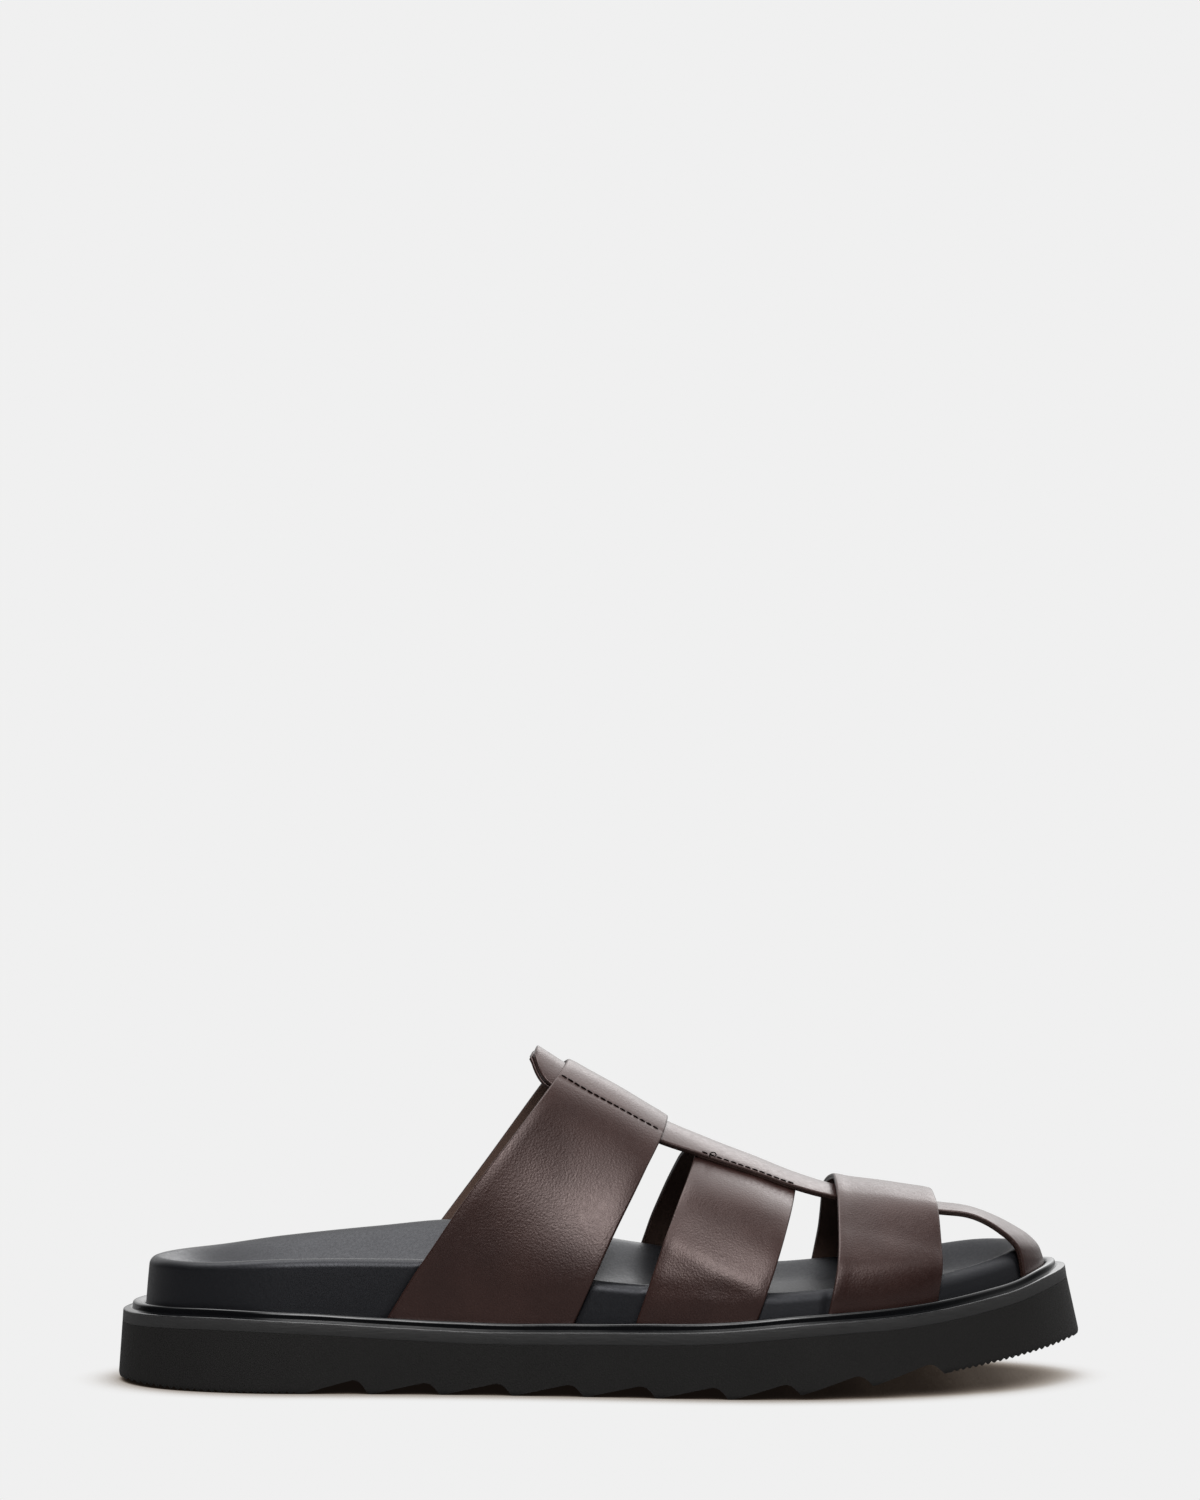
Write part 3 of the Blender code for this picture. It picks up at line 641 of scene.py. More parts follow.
def centre_strap_grid():
    """Outer face of the centre strap, from the tab to the toe's bead."""
    legs = np.hypot(np.diff(column(CENTRE, "s")), np.diff(column(CENTRE, "z")))
    path = np.concatenate([[0.0], np.cumsum(legs)])
    toe = path[-1] - TOE_WRAP
    stations = np.concatenate([
        np.linspace(0, TAB_ROUND, TAB_ROWS),
        np.linspace(TAB_ROUND, toe, INSTEP_ROWS)[1:],
        np.linspace(toe, path[-1], TOE_ROWS)[1:],
    ])
    s, z, width, turn = (through(stations, path, column(CENTRE, name))[:, None]
                         for name in CENTRE[0]._fields)
    rounding = 1 - np.clip(1 - stations / TAB_ROUND, 0, 1)[:, None] ** 3
    width = TAB_TIP + (width - TAB_TIP) * rounding
    y = RIDGE_Y + np.linspace(-1, 1, CENTRE_COLUMNS + 1) * width
    tip = toe_wall(np.array([PLAN[-1].lateral]))[0]
    wall, seat = toe_wall(y)
    back = wall - tip
    crown_s = np.minimum(s[:, 0], RIDGE[-1].s)
    crown = np.array([crown_z(*pair) for pair in zip(crown_s, y)])
    drop = lookup(RIDGE, "z", crown_s)[:, None] - crown
    at_tab = 1 - smoothstep(stations / TAB_SQUARE_END)[:, None]
    s = s + smoothstep(turn) * back - TAB_SQUARE * drop * at_tab
    z = z - drop * (1 - turn) - EDGE_RISE * turn * back
    down = np.linspace(0, 1, FOOT_ROWS + 1)[1:, None]
    foot = [row[-1] + down * (end[-1] - row[-1]) for row, end in ((s, wall), (y, y), (z, seat))]
    sheet = [np.vstack([upper, lower]) for upper, lower in zip((s, y, z), foot)]
    return np.stack(sheet, axis=-1) - [MIDDLE, 0, 0]


# ---- how the leather lies

def raised(x, bulge):
    return bulge.rise * hump(x, bulge.middle, bulge.width)


def waving(grid, wave):
    return wave.rise * wander(grid, wave.length, wave.seed)


def rolled_and_waved(strap, grid, v):
    """Offset of a cross strap's outer face: its long edges roll under and it waves a little."""
    width = np.linalg.norm(np.diff(grid, axis=1), axis=-1).sum(axis=1)[:, None]
    near = np.minimum(v, 1 - v) * width
    offset = -strap.roll_drop * np.clip(1 - near / strap.roll_reach, 0, 1) ** 2
    return offset + sum(waving(grid, wave) for wave in strap.waves)


def shaped(grid, offset):
    """Grid moved along its normals by offset, in millimetres."""
    return grid + unit_normals(grid) * offset[..., None]


def instep_strap_shape(grid, v, offset):
    side = grid[..., 1] - RIDGE_Y
    z = grid[..., 2]
    seam = np.abs(np.abs(side) - SEAM_OFFSET)
    lying = shaped(grid, offset - SEAM_DEPTH * hump(seam, 0.0, SEAM_WIDTH))
    rearwards = np.clip(1 - v / FLARE_REACH, 0, 1) ** 2
    lying[..., 1] += np.tanh(side / FLARE_EASE) * rearwards * raised(z, INSTEP_FLARE)
    lying[..., 0] -= (side < 0) * rearwards * raised(z, INSTEP_SET_BACK)
    return lying


def middle_strap_shape(grid, v, offset):
    z = grid[..., 2]
    slanted = z + MIDDLE_FOLD_SLANT * (v - 0.5)
    return shaped(grid, offset + raised(slanted, MIDDLE_FOLD) + raised(z, MIDDLE_DIP))


def toe_strap_shape(grid, v, offset):
    return shaped(grid, offset + raised(v, TOE_REAR) + raised(grid[..., 2], TOE_FOLD))


def centre_strap_shape(grid):
    side = np.abs(grid[..., 1] - RIDGE_Y)
    width = side.max(axis=1, keepdims=True)
    seam = np.abs(side - (width - CENTRE_SEAM_INSET))
    s = grid[..., 0] + MIDDLE
    sewn = plateau(s, *CENTRE_SEAM, CENTRE_SEAM_EASE)
    reach, drop = CENTRE_ROLL
    offset = waving(grid, CENTRE_WAVE) - drop * np.clip(1 - (width - side) / reach, 0, 1) ** 2
    return shaped(grid, offset - SEAM_DEPTH * hump(seam, 0.0, CENTRE_SEAM_WIDTH) * sewn)


def tab_lining_grid(centre):
    """Outer face of the second ply under the tab, which sticks out past the tab's end."""
    middle = centre[:, CENTRE_COLUMNS // 2]
    reached = middle[:, 0] + MIDDLE <= TAB_LINING_END
    grid, middle = centre[reached], middle[reached]
    rearwards = unit(middle[0] - middle[-1])
    fade = 1 - smoothstep((middle[0] - grid) @ rearwards / TAB_LINING_FADE)
    under = shaped(grid, np.full(grid.shape[:2], -STRAP - PLY_GAP))
    side = np.abs(grid[..., 1] - RIDGE_Y)
    out = TAB_LINING_OUT * fade * smoothstep((side - 1.0) / TAB_LINING_EASE)
    return under + out[..., None] * rearwards


# ---- meshes

def add_object(name, data):
    made = bpy.data.objects.new(name, data)
    bpy.context.scene.collection.objects.link(made)
    return made


def make_piece(name, points, faces, materials, face_materials=None, sharp=40.0):
    """Mesh object from points in millimetres that rides on the sandal's one body."""
    mesh = bpy.data.meshes.new(name)
    mesh.from_pydata((np.asarray(points) * MM).tolist(), [], faces)
    for material in materials:
        mesh.materials.append(material)
    if face_materials is not None:
        mesh.polygons.foreach_set("material_index", face_materials)
    mesh.shade_smooth()
    mesh.set_sharp_from_angle(angle=np.radians(sharp))
    piece = add_object(name, mesh)
    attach(piece, "root")
    return piece


# Rounded edge of a strap and the line between its plies: distance in from the strap's border,
# and depth below the outer face as a share of the strap's thickness.
OUTER, CUT, LINING = range(3)
EDGE_PROFILE = table(
    "inset depth material",
    (0.65, 0.0, OUTER),
    (0.36, 0.02, OUTER),
    (0.18, 0.07, OUTER),
    (0.08, 0.15, CUT),
    (0.02, 0.31, CUT),
    (0.0, 0.42, CUT),
    (0.02, 0.47, CUT),
    (0.22, 0.51, CUT),
    (0.06, 0.55, CUT),
    (0.04, 0.66, CUT),
    (0.08, 0.80, CUT),
    (0.22, 0.94, LINING),
    (0.42, 1.0, LINING),
)


def border_indices(rows, columns):
    """Numbers of a grid's border points, once round."""
    border = [i * columns for i in range(rows)]
    border += [(rows - 1) * columns + j for j in range(1, columns)]
    border += [i * columns + columns - 1 for i in range(rows - 2, -1, -1)]
    border += list(range(columns - 2, 0, -1))
    return border


def numbered(loops, around, first=0):
    """Numbers of the points of loops that follow one another."""
    return [list(range(first + k * around, first + (k + 1) * around)) for k in range(loops)]


def between(near, far):
    """Faces between two closed loops of point numbers."""
    return list(zip(near, near[1:] + near[:1], far[1:] + far[:1], far))


def sampled(at, steps, values):
    """Points of a line at distances along it, from the distance of each point that it has."""
    return np.stack([np.interp(at, steps, values[:, k]) for k in range(3)], axis=-1)


def squeezed(grid, inset):
    """The same surface sampled up to a border that lies further in."""
    for _ in range(2):
        steps = np.linalg.norm(np.diff(grid, axis=1), axis=-1)
        runs = np.hstack([np.zeros((len(grid), 1)), np.cumsum(steps, axis=1)])
        moved = np.empty_like(grid)
        for new, run, row in zip(moved, runs, grid):
            wanted = inset + run * (1 - 2 * inset / run[-1])
            new[:] = sampled(wanted, run, row)
        grid = moved.swapaxes(0, 1)
    return grid


def leather_sheet(name, grid, materials, thickness=STRAP):
    """Closed strap under a grid on its outer face, with the edge profile all round.

    The materials are those of the outer face, the cut edge and the lining.
    """
    rows, columns = grid.shape[:2]
    normals = unit_normals(grid)
    border = border_indices(rows, columns)
    rim = grid.reshape(-1, 3)[border]
    up = normals.reshape(-1, 3)[border]
    along = np.roll(rim, -1, axis=0) - np.roll(rim, 1, axis=0)
    outward = unit(np.cross(along, up))
    middle = grid.reshape(-1, 3).mean(axis=0)
    outward *= np.sign(((rim - middle) * outward).sum())
    loops = [rim - outward * edge.inset - up * edge.depth * thickness for edge in EDGE_PROFILE]
    outer = squeezed(grid, EDGE_PROFILE[0].inset)
    inner = (outer - unit_normals(outer) * thickness).reshape(-1, 3)
    outer = outer.reshape(-1, 3)
    inner[border] = loops[-1]
    count = rows * columns
    around = len(border)
    points = np.vstack([outer, inner, *loops[1:-1]])
    numbers = [border, *numbered(len(loops) - 2, around, 2 * count), [count + i for i in border]]
    faces = []
    kinds = []
    for i in range(rows - 1):
        for j in range(columns - 1):
            a = i * columns + j
            quad = (a, a + 1, a + columns + 1, a + columns)
            faces += [quad, tuple(count + k for k in reversed(quad))]
            kinds += [OUTER, LINING]
    for near, far, edge in zip(numbers, numbers[1:], EDGE_PROFILE):
        faces += between(far, near)
        kinds += [edge.material] * around
    if np.cross(grid[0, 1] - grid[0, 0], grid[1, 0] - grid[0, 0]) @ normals[0, 0] < 0:
        faces = [tuple(reversed(face)) for face in faces]
    return make_piece(name, points, faces, materials, kinds)


TUBE_ENDS = (0.45, 0.85, 1.0)  # share of the radius at an end, one ring in, and beyond


def tube(path, radius, sides=8):
    """Points and faces of a closed tube along a path, with round ends."""
    along = unit(np.gradient(path, axis=0))
    side = unit(np.cross(along, (0.0, 0.0, 1.0)))
    over = np.cross(side, along)
    angle = np.arange(sides) / sides * 2 * np.pi
    rings = []
    for i in range(len(path)):
        end = min(i, len(path) - 1 - i)
        width = radius * TUBE_ENDS[min(end, 2)]
        rings.append(path[i] + width * (np.cos(angle)[:, None] * side[i]
                                        + np.sin(angle)[:, None] * over[i]))
    numbers = numbered(len(path), sides)
    faces = [tuple(numbers[0]), tuple(reversed(numbers[-1]))]
    faces += [face for near, far in zip(numbers, numbers[1:]) for face in between(far, near)]
    return np.vstack(rings), faces


def walked(line, ups, pitch):
    """Points and normals every pitch along a line, evenly spread from end to end."""
    steps = np.concatenate([[0.0], np.cumsum(np.linalg.norm(np.diff(line, axis=0), axis=1))])
    count = max(1, round(steps[-1] / pitch))
    at = np.linspace(0, steps[-1], count + 1)
    return sampled(at, steps, line), unit(sampled(at, steps, ups))


def loose_loop(line, ups):
    """Path of a thread that rises from a seam, makes a small loop and dips in again."""
    loop = LOOSE_LOOP
    at = np.abs(line[:, 0] + MIDDLE - loop.station).argmin()
    along = unit(line[at + 1] - line[at - 1])
    angle = np.linspace(loop.start, loop.end, loop.points)[:, None] * np.pi
    turn = loop.radius * (np.cos(angle) * along + (loop.lift + np.sin(angle)) * ups[at])
    return line[at] + turn + loop.drift * angle * np.cross(along, ups[at])


def joined(parts):
    """Points and faces of several meshes as those of one."""
    points = np.vstack([part for part, _ in parts])
    starts = np.cumsum([0] + [len(part) for part, _ in parts]).tolist()
    faces = [tuple(start + k for k in face) for start, (_, some) in zip(starts, parts) for face in some]
    return points, faces


def sewing(name, lines, thread, extra=()):
    """Stitches along each line (points and normals): short threads that dip into the leather.

    Extra paths are added as they are.
    """
    parts = [tube(path, LOOSE_THREAD / 2) for path in extra]
    share = np.linspace(0, 1, STITCH_POINTS)
    rise = STITCH_RISE - (STITCH_RISE + STITCH_DIP) * np.abs(2 * share - 1) ** 4
    along = STITCH_GAP + (1 - 2 * STITCH_GAP) * share
    for line, ups in lines:
        knots, normals = walked(line, ups, STITCH_PITCH)
        for knot, step, up in zip(knots, np.diff(knots, axis=0), normals):
            side = unit(np.cross(step, up))
            aside = STITCH_WANDER * noise.noise(Vector(knot * STITCH_UNLIKE))
            sideways = STITCH_SLANT * (share - 0.5) + aside
            path = knot + np.outer(along, step) + np.outer(rise, up) + np.outer(sideways, side)
            parts.append(tube(path, THREAD / 2))
    return make_piece(name, *joined(parts), [thread], sharp=80.0)


def at_width(points, normals, side, reach):
    """Point and normal of a row at a width beside the ridge, which reach finds from its widths."""
    across = side * (points[:, 1] - RIDGE_Y)
    order = np.argsort(across)
    width = reach(across)
    return [sampled(width, across[order], values[order]) for values in (points, normals)]


def line_across(grid, offset, side, first, last):
    """Line on a grid where it lies offset out from the ridge on one side, with its normals.

    The grid's rows run across the foot, and the line crosses each of its columns.
    """
    normals = unit_normals(grid)
    line = [at_width(grid[:, j], normals[:, j], side, lambda across: offset)
            for j in range(grid.shape[1])]
    return np.array(line[first:last]).swapaxes(0, 1)


def line_along(grid, inset, side, start, end):
    """Line on the centre strap at a distance in from one edge, between two stations."""
    normals = unit_normals(grid)
    line = [at_width(row, ups, side, lambda across: across.max() - inset)
            for row, ups in zip(grid, normals) if start <= row[0, 0] + MIDDLE <= end]
    return np.array(line).swapaxes(0, 1)


# ---- footbed, welt and outsole

def strapped(s, z, medial):
    """Share from 0 to 1 by which a point on the sole's side lies behind a cross strap."""
    inside = np.zeros(np.broadcast(s, z).shape)
    for strap in CROSS_STRAPS:
        skew = np.where(medial, strap.skew, 0.0)
        rear, front = edges_at(strap, z)
        within = np.minimum(s - (rear + skew), front + skew - s)
        inside = np.maximum(inside, smoothstep((within + BEHIND_MARGIN) / BEHIND_EASE))
    return inside


def at_toe_wrap(s, y):
    """Share from 0 to 1 by which a point on the toe's rim lies behind the centre strap."""
    within = CENTRE[-1].half_width - np.abs(y - RIDGE_Y)
    at_toe = smoothstep((s - TOE_WRAP_START) / TOE_WRAP_EASE)
    return smoothstep((within + BEHIND_MARGIN) / BEHIND_EASE) * at_toe


def behind_straps(z):
    """The larger of both shares at each point of the footbed's outline, at heights z."""
    s, y = outline().T
    medial = np.arange(2 * RING_STEPS) > RING_STEPS
    return np.maximum(strapped(s - lean(s) * FOOT_HEIGHT, z, medial), at_toe_wrap(s, y))


def ladder_cap(loop):
    """Faces across a closed loop of point numbers that starts at one of its two ends."""
    count = len(loop)
    rungs = [(i, i + 1, (count - i - 1) % count, (count - i) % count) for i in range(count // 2)]
    return [tuple(loop[k] for k in dict.fromkeys(rung)) for rung in rungs]


def stack(rings):
    """Points and faces of a solid of rings stacked from first to last, with a cap at each end."""
    numbers = numbered(len(rings), len(rings[0]))
    faces = [face for pair in zip(numbers, numbers[1:]) for face in between(*pair)]
    faces += [face[::-1] for face in ladder_cap(numbers[0])]
    return np.vstack(rings), faces + ladder_cap(numbers[-1])


def cup_height(points, crest, rim):
    """Height of the foot's surface at points (s, y), between its crest ring and its floor."""
    heights = np.empty(len(points))
    for part in np.array_split(np.arange(len(points)), 40):
        s, y = points[part].T
        distance = np.hypot(crest[:, 0] - s[:, None], crest[:, 1] - y[:, None])
        weight = 1 / (distance + NEAR_SOFTNESS) ** 4
        near_rim = (weight * rim).sum(axis=1) / weight.sum(axis=1)
        floor = lookup(RIM, "floor", s)
        away = distance.min(axis=1)
        away -= CUP_SHOULDER * (1 - np.exp(-away / CUP_SHOULDER))
        fall = np.clip(1 - away / lookup(RIM, "slope", s), 0, 1) ** 2
        heights[part] = floor + (near_rim - floor) * fall * (1 + CUP_FULLNESS * (1 - fall))
    return heights


def make_footbed(cover):
    rim = rim_heights(RING_STEPS)
    base_s = outline()[:, 0]
    rounding = lookup(RIM, "rounding", base_s)
    crest_in = lookup(RIM, "crest", base_s)
    bottom = deck(base_s) + PLATE_FLOOR
    rings = []
    for share in np.linspace(0, 1, WALL_RINGS + 1)[:-1]:
        z = bottom + share * (rim - rounding - bottom)
        s, y = outline(WALL_LEAN * share ** 2 - RECESS * behind_straps(z)).T
        rings.append(place(s, y, z))
    for angle in np.linspace(0, np.pi / 2, RIM_RINGS + 1):
        offset = WALL_LEAN - (crest_in + WALL_LEAN) * (1 - np.cos(angle))
        z = rim - rounding * (1 - np.sin(angle))
        sunk = behind_straps(z) * np.cos(angle) ** 2
        s, y = outline(offset - RECESS * sunk).T
        rings.append(place(s, y, z))
    crest = outline(-crest_in)
    dense = outline(-lookup(RIM, "crest", outline(steps=CREST_STEPS)[:, 0]), CREST_STEPS)
    dense_rim = rim_heights(CREST_STEPS)
    spine_s = np.clip(crest[:, 0], *SPINE)
    spine_y = (outline_y("lateral", spine_s) + outline_y("medial", spine_s)) / 2
    spine = np.column_stack([spine_s, spine_y])
    for share in np.linspace(0, 1, CUP_RINGS + 1)[1:]:
        flat = crest + share ** CUP_CROWDING * SPINE_REACH * (spine - crest)
        z = cup_height(flat, dense, dense_rim)
        rings.append(place(flat[:, 0], flat[:, 1], z))
    footbed = make_piece("footbed_cover", *stack(rings), [cover])
    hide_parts("footbed")


def make_welt(band, bead):
    s, y = outline().T
    edge = np.column_stack([s, y, 0 * s])
    ripple, crumble = (wander(edge, wave.length, wave.seed) for wave in (RIPPLE, CRUMBLE))
    behind = behind_straps(deck(s) + BEAD_FOOT)
    for blend in (np.max, np.mean):
        near = [np.roll(behind, k) for k in range(-BEAD_BLEND, BEAD_BLEND + 1)]
        behind = blend(near, axis=0)
    rings = []
    for row in BAND_PROFILE + BEAD_PROFILE:
        on_bead = smoothstep((row.height - BAND_TOP) / RIPPLE_EASE)
        at_edge = raised(row.out, CRUMBLE_AT) * (row.height > BAND_TOP - CRUMBLE_TOP)
        out = np.maximum(row.out, BEAD_CLEAR * behind)
        s, y = outline(out + RIPPLE.rise * ripple + CRUMBLE.rise * crumble * at_edge).T
        up = RIPPLE_UP * ripple * on_bead + CRUMBLE_UP * crumble * at_edge
        rings.append(place(s, y, deck(s) + row.height + up))
    around = 2 * RING_STEPS
    kinds = [0] * ((len(BAND_PROFILE) - 1) * around) + [1] * (len(BEAD_PROFILE) * around)
    kinds += [0] * RING_STEPS + [1] * RING_STEPS
    welt = make_piece("welt_and_bead", *stack(rings), [band, bead], kinds, sharp=60.0)
    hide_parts("welt")


def tread(s):
    """How far the tread is cut away above the ground line: cross grooves and fine ribs."""
    depth = np.zeros_like(s)
    for index in range(GROOVES):
        peak = FIRST_PEAK + index * GROOVE_PITCH
        ramp = FIRST_RAMP if index == 0 else RAMP
        most = FIRST_GROOVE_DEPTH if index == 0 else GROOVE_DEPTH
        reach = peak + ramp * column(GROOVE_PROFILE, "ramps")
        reach += DROP * column(GROOVE_PROFILE, "drops")
        shape = most * np.interp(s, reach, column(GROOVE_PROFILE, "depth"))
        depth = np.maximum(depth, np.where((s > reach[0]) & (s < reach[-1]), shape, 0.0))
    for zone in RIB_ZONES:
        inside = plateau(s, zone.start, zone.end, RIB_EASE)
        ribs = 1 - np.abs(np.cos(np.pi * (s - zone.start) / zone.pitch))
        depth = np.maximum(depth, zone.depth * ribs * inside)
    return depth


def sole_rail(side, offset, stations):
    """Stations and widths of one side of the outline, moved out, at shares of its length."""
    dense = outline(offset, RAIL_STEPS)
    half = dense[:RAIL_STEPS + 1]
    if side > 0:
        half = np.vstack([dense[RAIL_STEPS:], dense[:1]])[::-1]
    s = half[0, 0] + stations * (half[-1, 0] - half[0, 0])
    return s, np.interp(s, half[:, 0], half[:, 1])


def make_outsole(rubber):
    even = np.arange(0, LENGTH, SOLE_STEP) / LENGTH
    round_ends = (1 - np.cos(np.linspace(0, np.pi, END_STEPS))) / 2
    ends = round_ends[np.abs(round_ends - 0.5) > 0.5 - END_SHARE]
    stations = np.unique(np.concatenate([even, ends, [1.0]]).round(6))
    rings = []
    for share in SIDE_SHARES:
        halves = []
        for side in (-1, 1):
            s, y = sole_rail(side, EDGE, stations)
            low = tread(s)
            height = low + share * (deck(s) - ground(s) - low)
            inset = BOTTOM_EDGE_INSET * np.clip(1 - height / BOTTOM_EDGE_RISE, 0, 1)
            flare = TOE_FLARE * ground(s) / SPRING_RISE * (s > SPRING_START)
            up = height / (deck(s) - ground(s))
            out_s, out_y = sole_rail(side, EDGE + 1.0, stations)  # one millimetre out
            more = flare * (1 - up) - inset
            s, y = s + more * (out_s - s), y + more * (out_y - y)
            halves.append(place(s, y, ground(s) + height))
        rings.append(np.vstack([halves[0], halves[1][-2:0:-1]]))
    outsole = make_piece("outsole_rubber", *stack(rings), [rubber], sharp=30.0)
    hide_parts("outsole")


# ---- materials

def node(tree, kind, inputs=(), **settings):
    """Adds a node. An input is given as (socket name, value or another node's output)."""
    made = tree.nodes.new("ShaderNode" + kind)
    for name, value in settings.items():
        setattr(made, name, value)
    for name, value in inputs:
        if isinstance(value, bpy.types.NodeSocket):
            tree.links.new(value, made.inputs[name])
        else:
            made.inputs[name].default_value = value
    return made


def noise_of(tree, place_of, scale, detail=2.0, roughness=0.5):
    inputs = [("Vector", place_of), ("Scale", scale), ("Detail", detail), ("Roughness", roughness)]
    return node(tree, "TexNoise", inputs).outputs["Fac"]


def cells_of(tree, place_of, scale):
    inputs = [("Vector", place_of), ("Scale", scale)]
    return node(tree, "TexVoronoi", inputs).outputs["Distance"]


def ranged(tree, value, low, high, new_low, new_high):
    inputs = [("Value", value), ("From Min", low), ("From Max", high)]
    inputs += [("To Min", new_low), ("To Max", new_high)]
    return node(tree, "MapRange", inputs).outputs["Result"]


def maths(tree, operation, *values):
    return node(tree, "Math", enumerate(values), operation=operation).outputs[0]


def blended(tree, share, first, second):
    inputs = [(0, share), (6, (*first, 1.0)), (7, (*second, 1.0))]
    return node(tree, "Mix", inputs, data_type="RGBA").outputs[2]


def bumped(tree, height, depth, strength=1.0, under=None):
    """Normal with a relief whose full height is depth, in metres."""
    inputs = [("Height", height), ("Distance", depth), ("Strength", strength)]
    if under is not None:
        inputs.append(("Normal", under))
    return node(tree, "Bump", inputs).outputs["Normal"]


def surface(name):
    """New material: its node tree, its shader and the object's own coordinates."""
    made = bpy.data.materials.new(name)
    made.use_nodes = True
    tree = made.node_tree
    shader = tree.nodes["Principled BSDF"]
    place_of = node(tree, "TexCoord").outputs["Object"]
    return made, tree, shader, place_of


def finish_surface(tree, shader, colour, roughness, normal, sockets):
    tree.links.new(colour, shader.inputs["Base Color"])
    tree.links.new(roughness, shader.inputs["Roughness"])
    tree.links.new(normal, shader.inputs["Normal"])
    for socket, value in sockets.items():
        shader.inputs[socket].default_value = value


def separated(tree, at, axis):
    return node(tree, "SeparateXYZ", [("Vector", at)]).outputs[axis]


def leather_material():
    made, tree, shader, at = surface("smooth_leather")
    mottle = noise_of(tree, at, 55.0, 3.0)
    fine = noise_of(tree, at, 620.0, 3.0, 0.6)
    colour = blended(tree, ranged(tree, mottle, 0.35, 0.65, 0, 1), LEATHER_DARK, LEATHER_LIGHT)
    roughness = ranged(tree, fine, 0.3, 0.7, 0.29, 0.37)
    normal = bumped(tree, noise_of(tree, at, 1500.0, 1.0, 0.5), 0.00004)
    normal = bumped(tree, cells_of(tree, at, 1500.0), 0.00003, 1.0, normal)
    finish_surface(tree, shader, colour, roughness, normal, LEATHER_SHEEN)
    return made


def plain_material(name):
    """Material from its row of finishes."""
    made, tree, shader, at = surface(name)
    finish = FINISHES[name]
    if finish.stretch is not None:
        inputs = [("Vector", at), ("Scale", finish.stretch)]
        at = node(tree, "Mapping", inputs).outputs["Vector"]
    grains = (finish.tint, finish.gloss, finish.relief)
    noises = {grain: noise_of(tree, at, *grain) for grain in dict.fromkeys(grains)}
    tint, gloss, relief = (noises[grain] for grain in grains)
    finish_surface(tree, shader, blended(tree, tint, finish.dark, finish.light),
                   ranged(tree, gloss, 0.3, 0.7, finish.smooth, finish.rough),
                   bumped(tree, relief, finish.depth, finish.strength), finish.sockets)
    return made


def footbed_material():
    made, tree, shader, at = surface("satin_footbed")
    cloud = noise_of(tree, at, 40.0, 3.0)
    fine = noise_of(tree, at, 1300.0, 2.0)
    colour = blended(tree, cloud, FOOTBED_DARK, FOOTBED_LIGHT)
    normal = bumped(tree, noise_of(tree, at, 90.0, 2.0), 0.0005, 0.25)
    normal = bumped(tree, fine, 0.00005, 0.6, normal)
    forefoot = ranged(tree, separated(tree, at, "X"), 0.01, 0.06, 0.0, 0.16)
    satin = ranged(tree, fine, 0.3, 0.7, 0.36, 0.46)
    roughness = maths(tree, "ADD", satin, forefoot)
    finish_surface(tree, shader, colour, roughness, normal, FOOTBED_SHEEN)
    return made


def seen_or_felt(tree, seen, felt):
    """Shader that the camera sees as one thing and that lights the sandal as another."""
    camera_ray = node(tree, "LightPath").outputs["Is Camera Ray"]
    return node(tree, "MixShader", [(0, camera_ray), (1, felt), (2, seen)]).outputs["Shader"]


def floor_material():
    """Pale even floor with a tight, slightly warm painted shadow. It lights the sandal only a little."""
    made = bpy.data.materials.new("pale_floor")
    made.use_nodes = True
    tree = made.node_tree
    tree.nodes.remove(tree.nodes["Principled BSDF"])
    # Painted shadow: the glow that the camera sees takes its tone from how open the sky is nearby.
    nearby = node(tree, "AmbientOcclusion", [("Distance", SHADOW_REACH)])
    open_share = nearby.outputs["AO"]
    ramp = node(tree, "ValToRGB", [("Fac", open_share)])
    stops = ramp.color_ramp.elements
    for stop in SHADOW_TONES[1:-1]:
        stops.new(stop.open_share)
    for element, stop in zip(stops, SHADOW_TONES):
        element.position = stop.open_share
        element.color = (*stop.tone, 1.0)
    even = node(tree, "Emission", [("Color", ramp.outputs["Color"]), ("Strength", PALE)])
    grey = (FLOOR_BOUNCE, FLOOR_BOUNCE, FLOOR_BOUNCE, 1.0)
    bounce = node(tree, "BsdfDiffuse", [("Color", grey)])
    mixed = seen_or_felt(tree, even.outputs["Emission"], bounce.outputs["BSDF"])
    tree.links.new(mixed, tree.nodes["Material Output"].inputs["Surface"])
    return made


# ---- studio

def make_floor():
    """One wide triangle, so that no seam of the floor runs under the sandal."""
    mesh = bpy.data.meshes.new("floor")
    corners = [(0.0, 2.0), (-1.8, -1.0), (1.8, -1.0)]
    mesh.from_pydata([(x * FLOOR_REACH, y * FLOOR_REACH, -FLOOR_DROP) for x, y in corners],
                     [], [(0, 1, 2)])
    mesh.materials.append(floor_material())
    floor = add_object("floor", mesh)


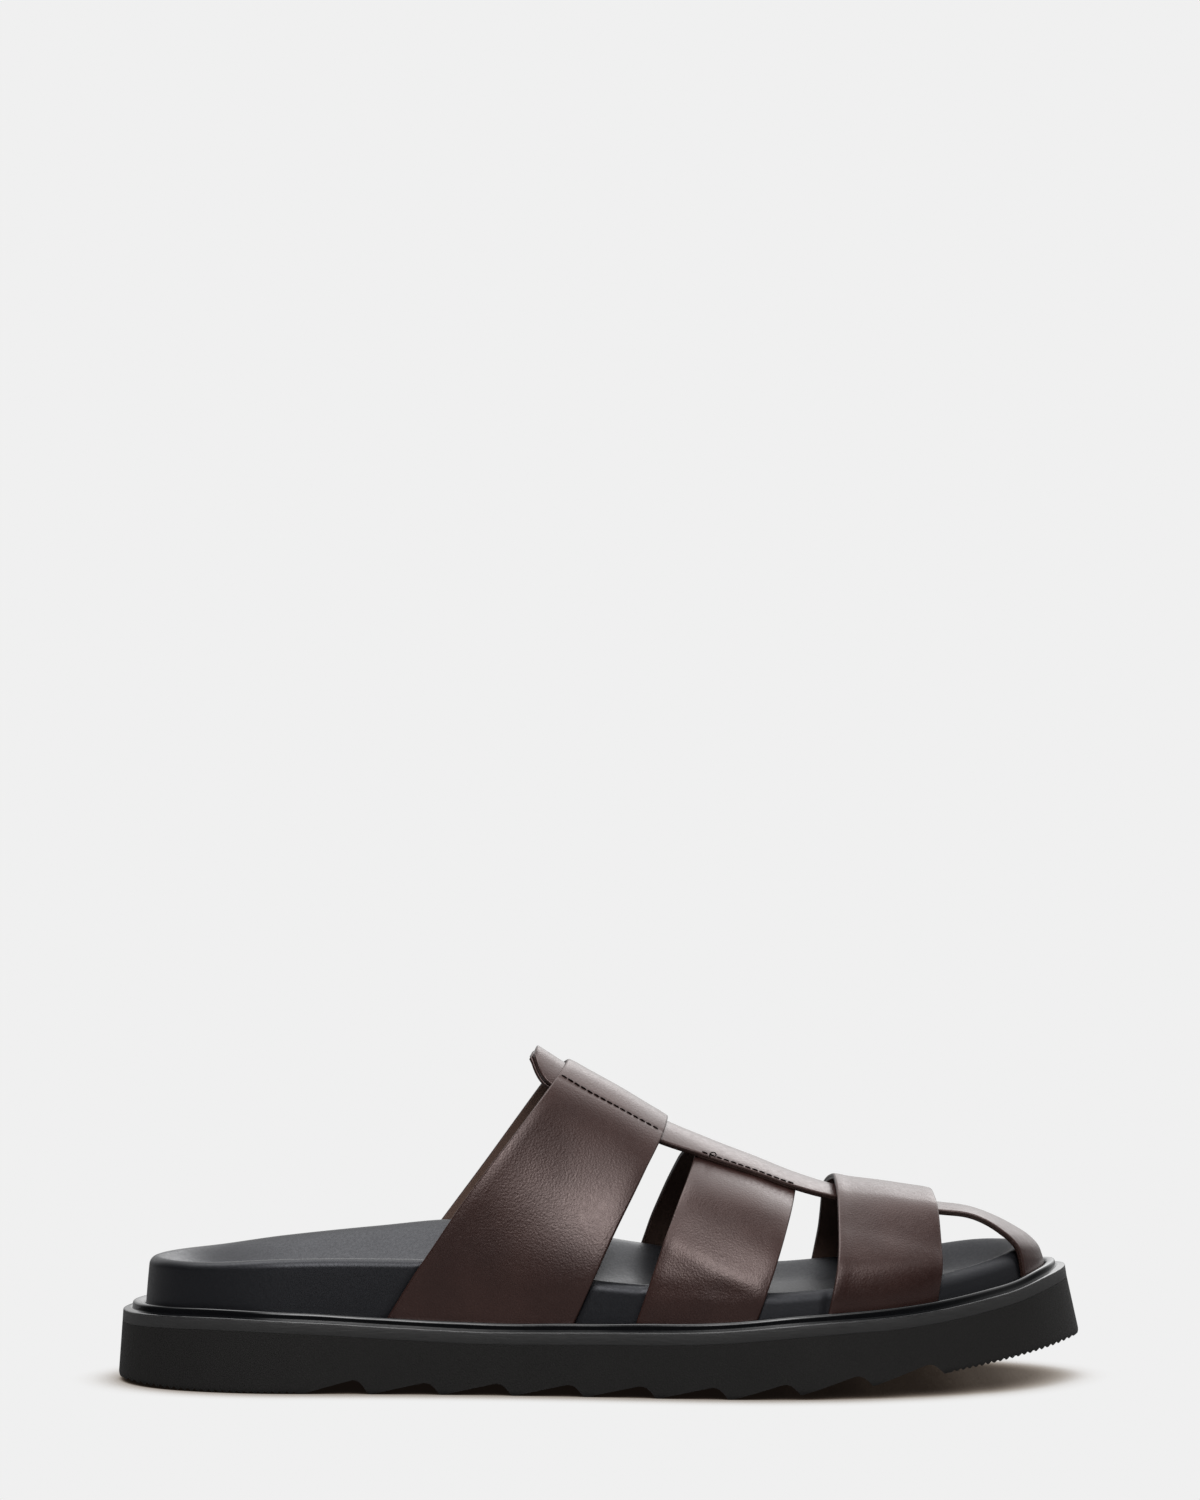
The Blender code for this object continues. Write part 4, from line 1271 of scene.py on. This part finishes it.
def make_world():
    """Soft light from the pale studio: glows round a few directions, which the camera can't see."""
    world = bpy.data.worlds.new("studio")
    bpy.context.scene.world = world
    world.use_nodes = True
    tree = world.node_tree
    tree.nodes.clear()
    direction = node(tree, "TexCoord").outputs["Generated"]
    total = 0.0
    for glow in GLOWS:
        towards = Vector(glow.towards).normalized()
        facing = node(tree, "VectorMath", [(0, direction), (1, towards)],
                      operation="DOT_PRODUCT").outputs["Value"]
        less = maths(tree, "SUBTRACT", facing, 1.0)
        lobe = maths(tree, "EXPONENT", maths(tree, "MULTIPLY", less, glow.focus))
        total = maths(tree, "MULTIPLY_ADD", lobe, glow.strength, total)
    white = (1.0, 1.0, 1.0, 1.0)
    felt, seen = (node(tree, "Background", [("Color", white), ("Strength", strength)])
                  for strength in (total, PALE))
    mixed = seen_or_felt(tree, seen.outputs["Background"], felt.outputs["Background"])
    node(tree, "OutputWorld", [("Surface", mixed)])


def make_camera():
    data = bpy.data.cameras.new("camera")
    data.sensor_width = CAMERA_SENSOR
    data.lens = CAMERA_LENS
    data.clip_end = CAMERA_FAR
    camera = add_object("camera", data)
    camera.location = CAMERA_AT
    camera.rotation_euler = (np.pi / 2, 0.0, 0.0)
    bpy.context.scene.camera = camera


# ---- the whole scene

def make_upper():
    finishes = [leather_material(), plain_material("painted_edge"), plain_material("dark_lining")]
    thread = plain_material("dark_thread")
    shapes = (instep_strap_shape, middle_strap_shape, toe_strap_shape)
    grids = []
    for strap, shape in zip(CROSS_STRAPS, shapes):
        grid, v = cross_strap_grid(strap)
        grids.append(shape(grid, v, rolled_and_waved(strap, grid, v)))
    pieces = [leather_sheet(strap.name, grid, finishes) for strap, grid in zip(CROSS_STRAPS, grids)]
    seams = [line_across(grids[0], SEAM_OFFSET, side, *SEAM_COLUMNS) for side in (-1, 1)]
    pieces.append(sewing("instep_stitches", seams, thread))
    centre = centre_strap_shape(centre_strap_grid())
    pieces.append(leather_sheet("centre_strap", centre, finishes))
    pieces.append(leather_sheet("tab_lining", tab_lining_grid(centre), finishes, TAB_LINING))
    seams = [line_along(centre, CENTRE_SEAM_INSET, side, *CENTRE_SEAM) for side in (-1, 1)]
    pieces.append(sewing("centre_stitches", seams, thread, [loose_loop(*seams[0])]))
    for piece in pieces:
        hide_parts("upper")


def main():
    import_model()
    make_upper()
    make_footbed(footbed_material())
    make_welt(plain_material("brushed_band"), plain_material("glossy_bead"))
    make_outsole(plain_material("matt_rubber"))
    make_floor()
    make_world()
    make_camera()
    bpy.context.scene.view_settings.view_transform = "Standard"


main()
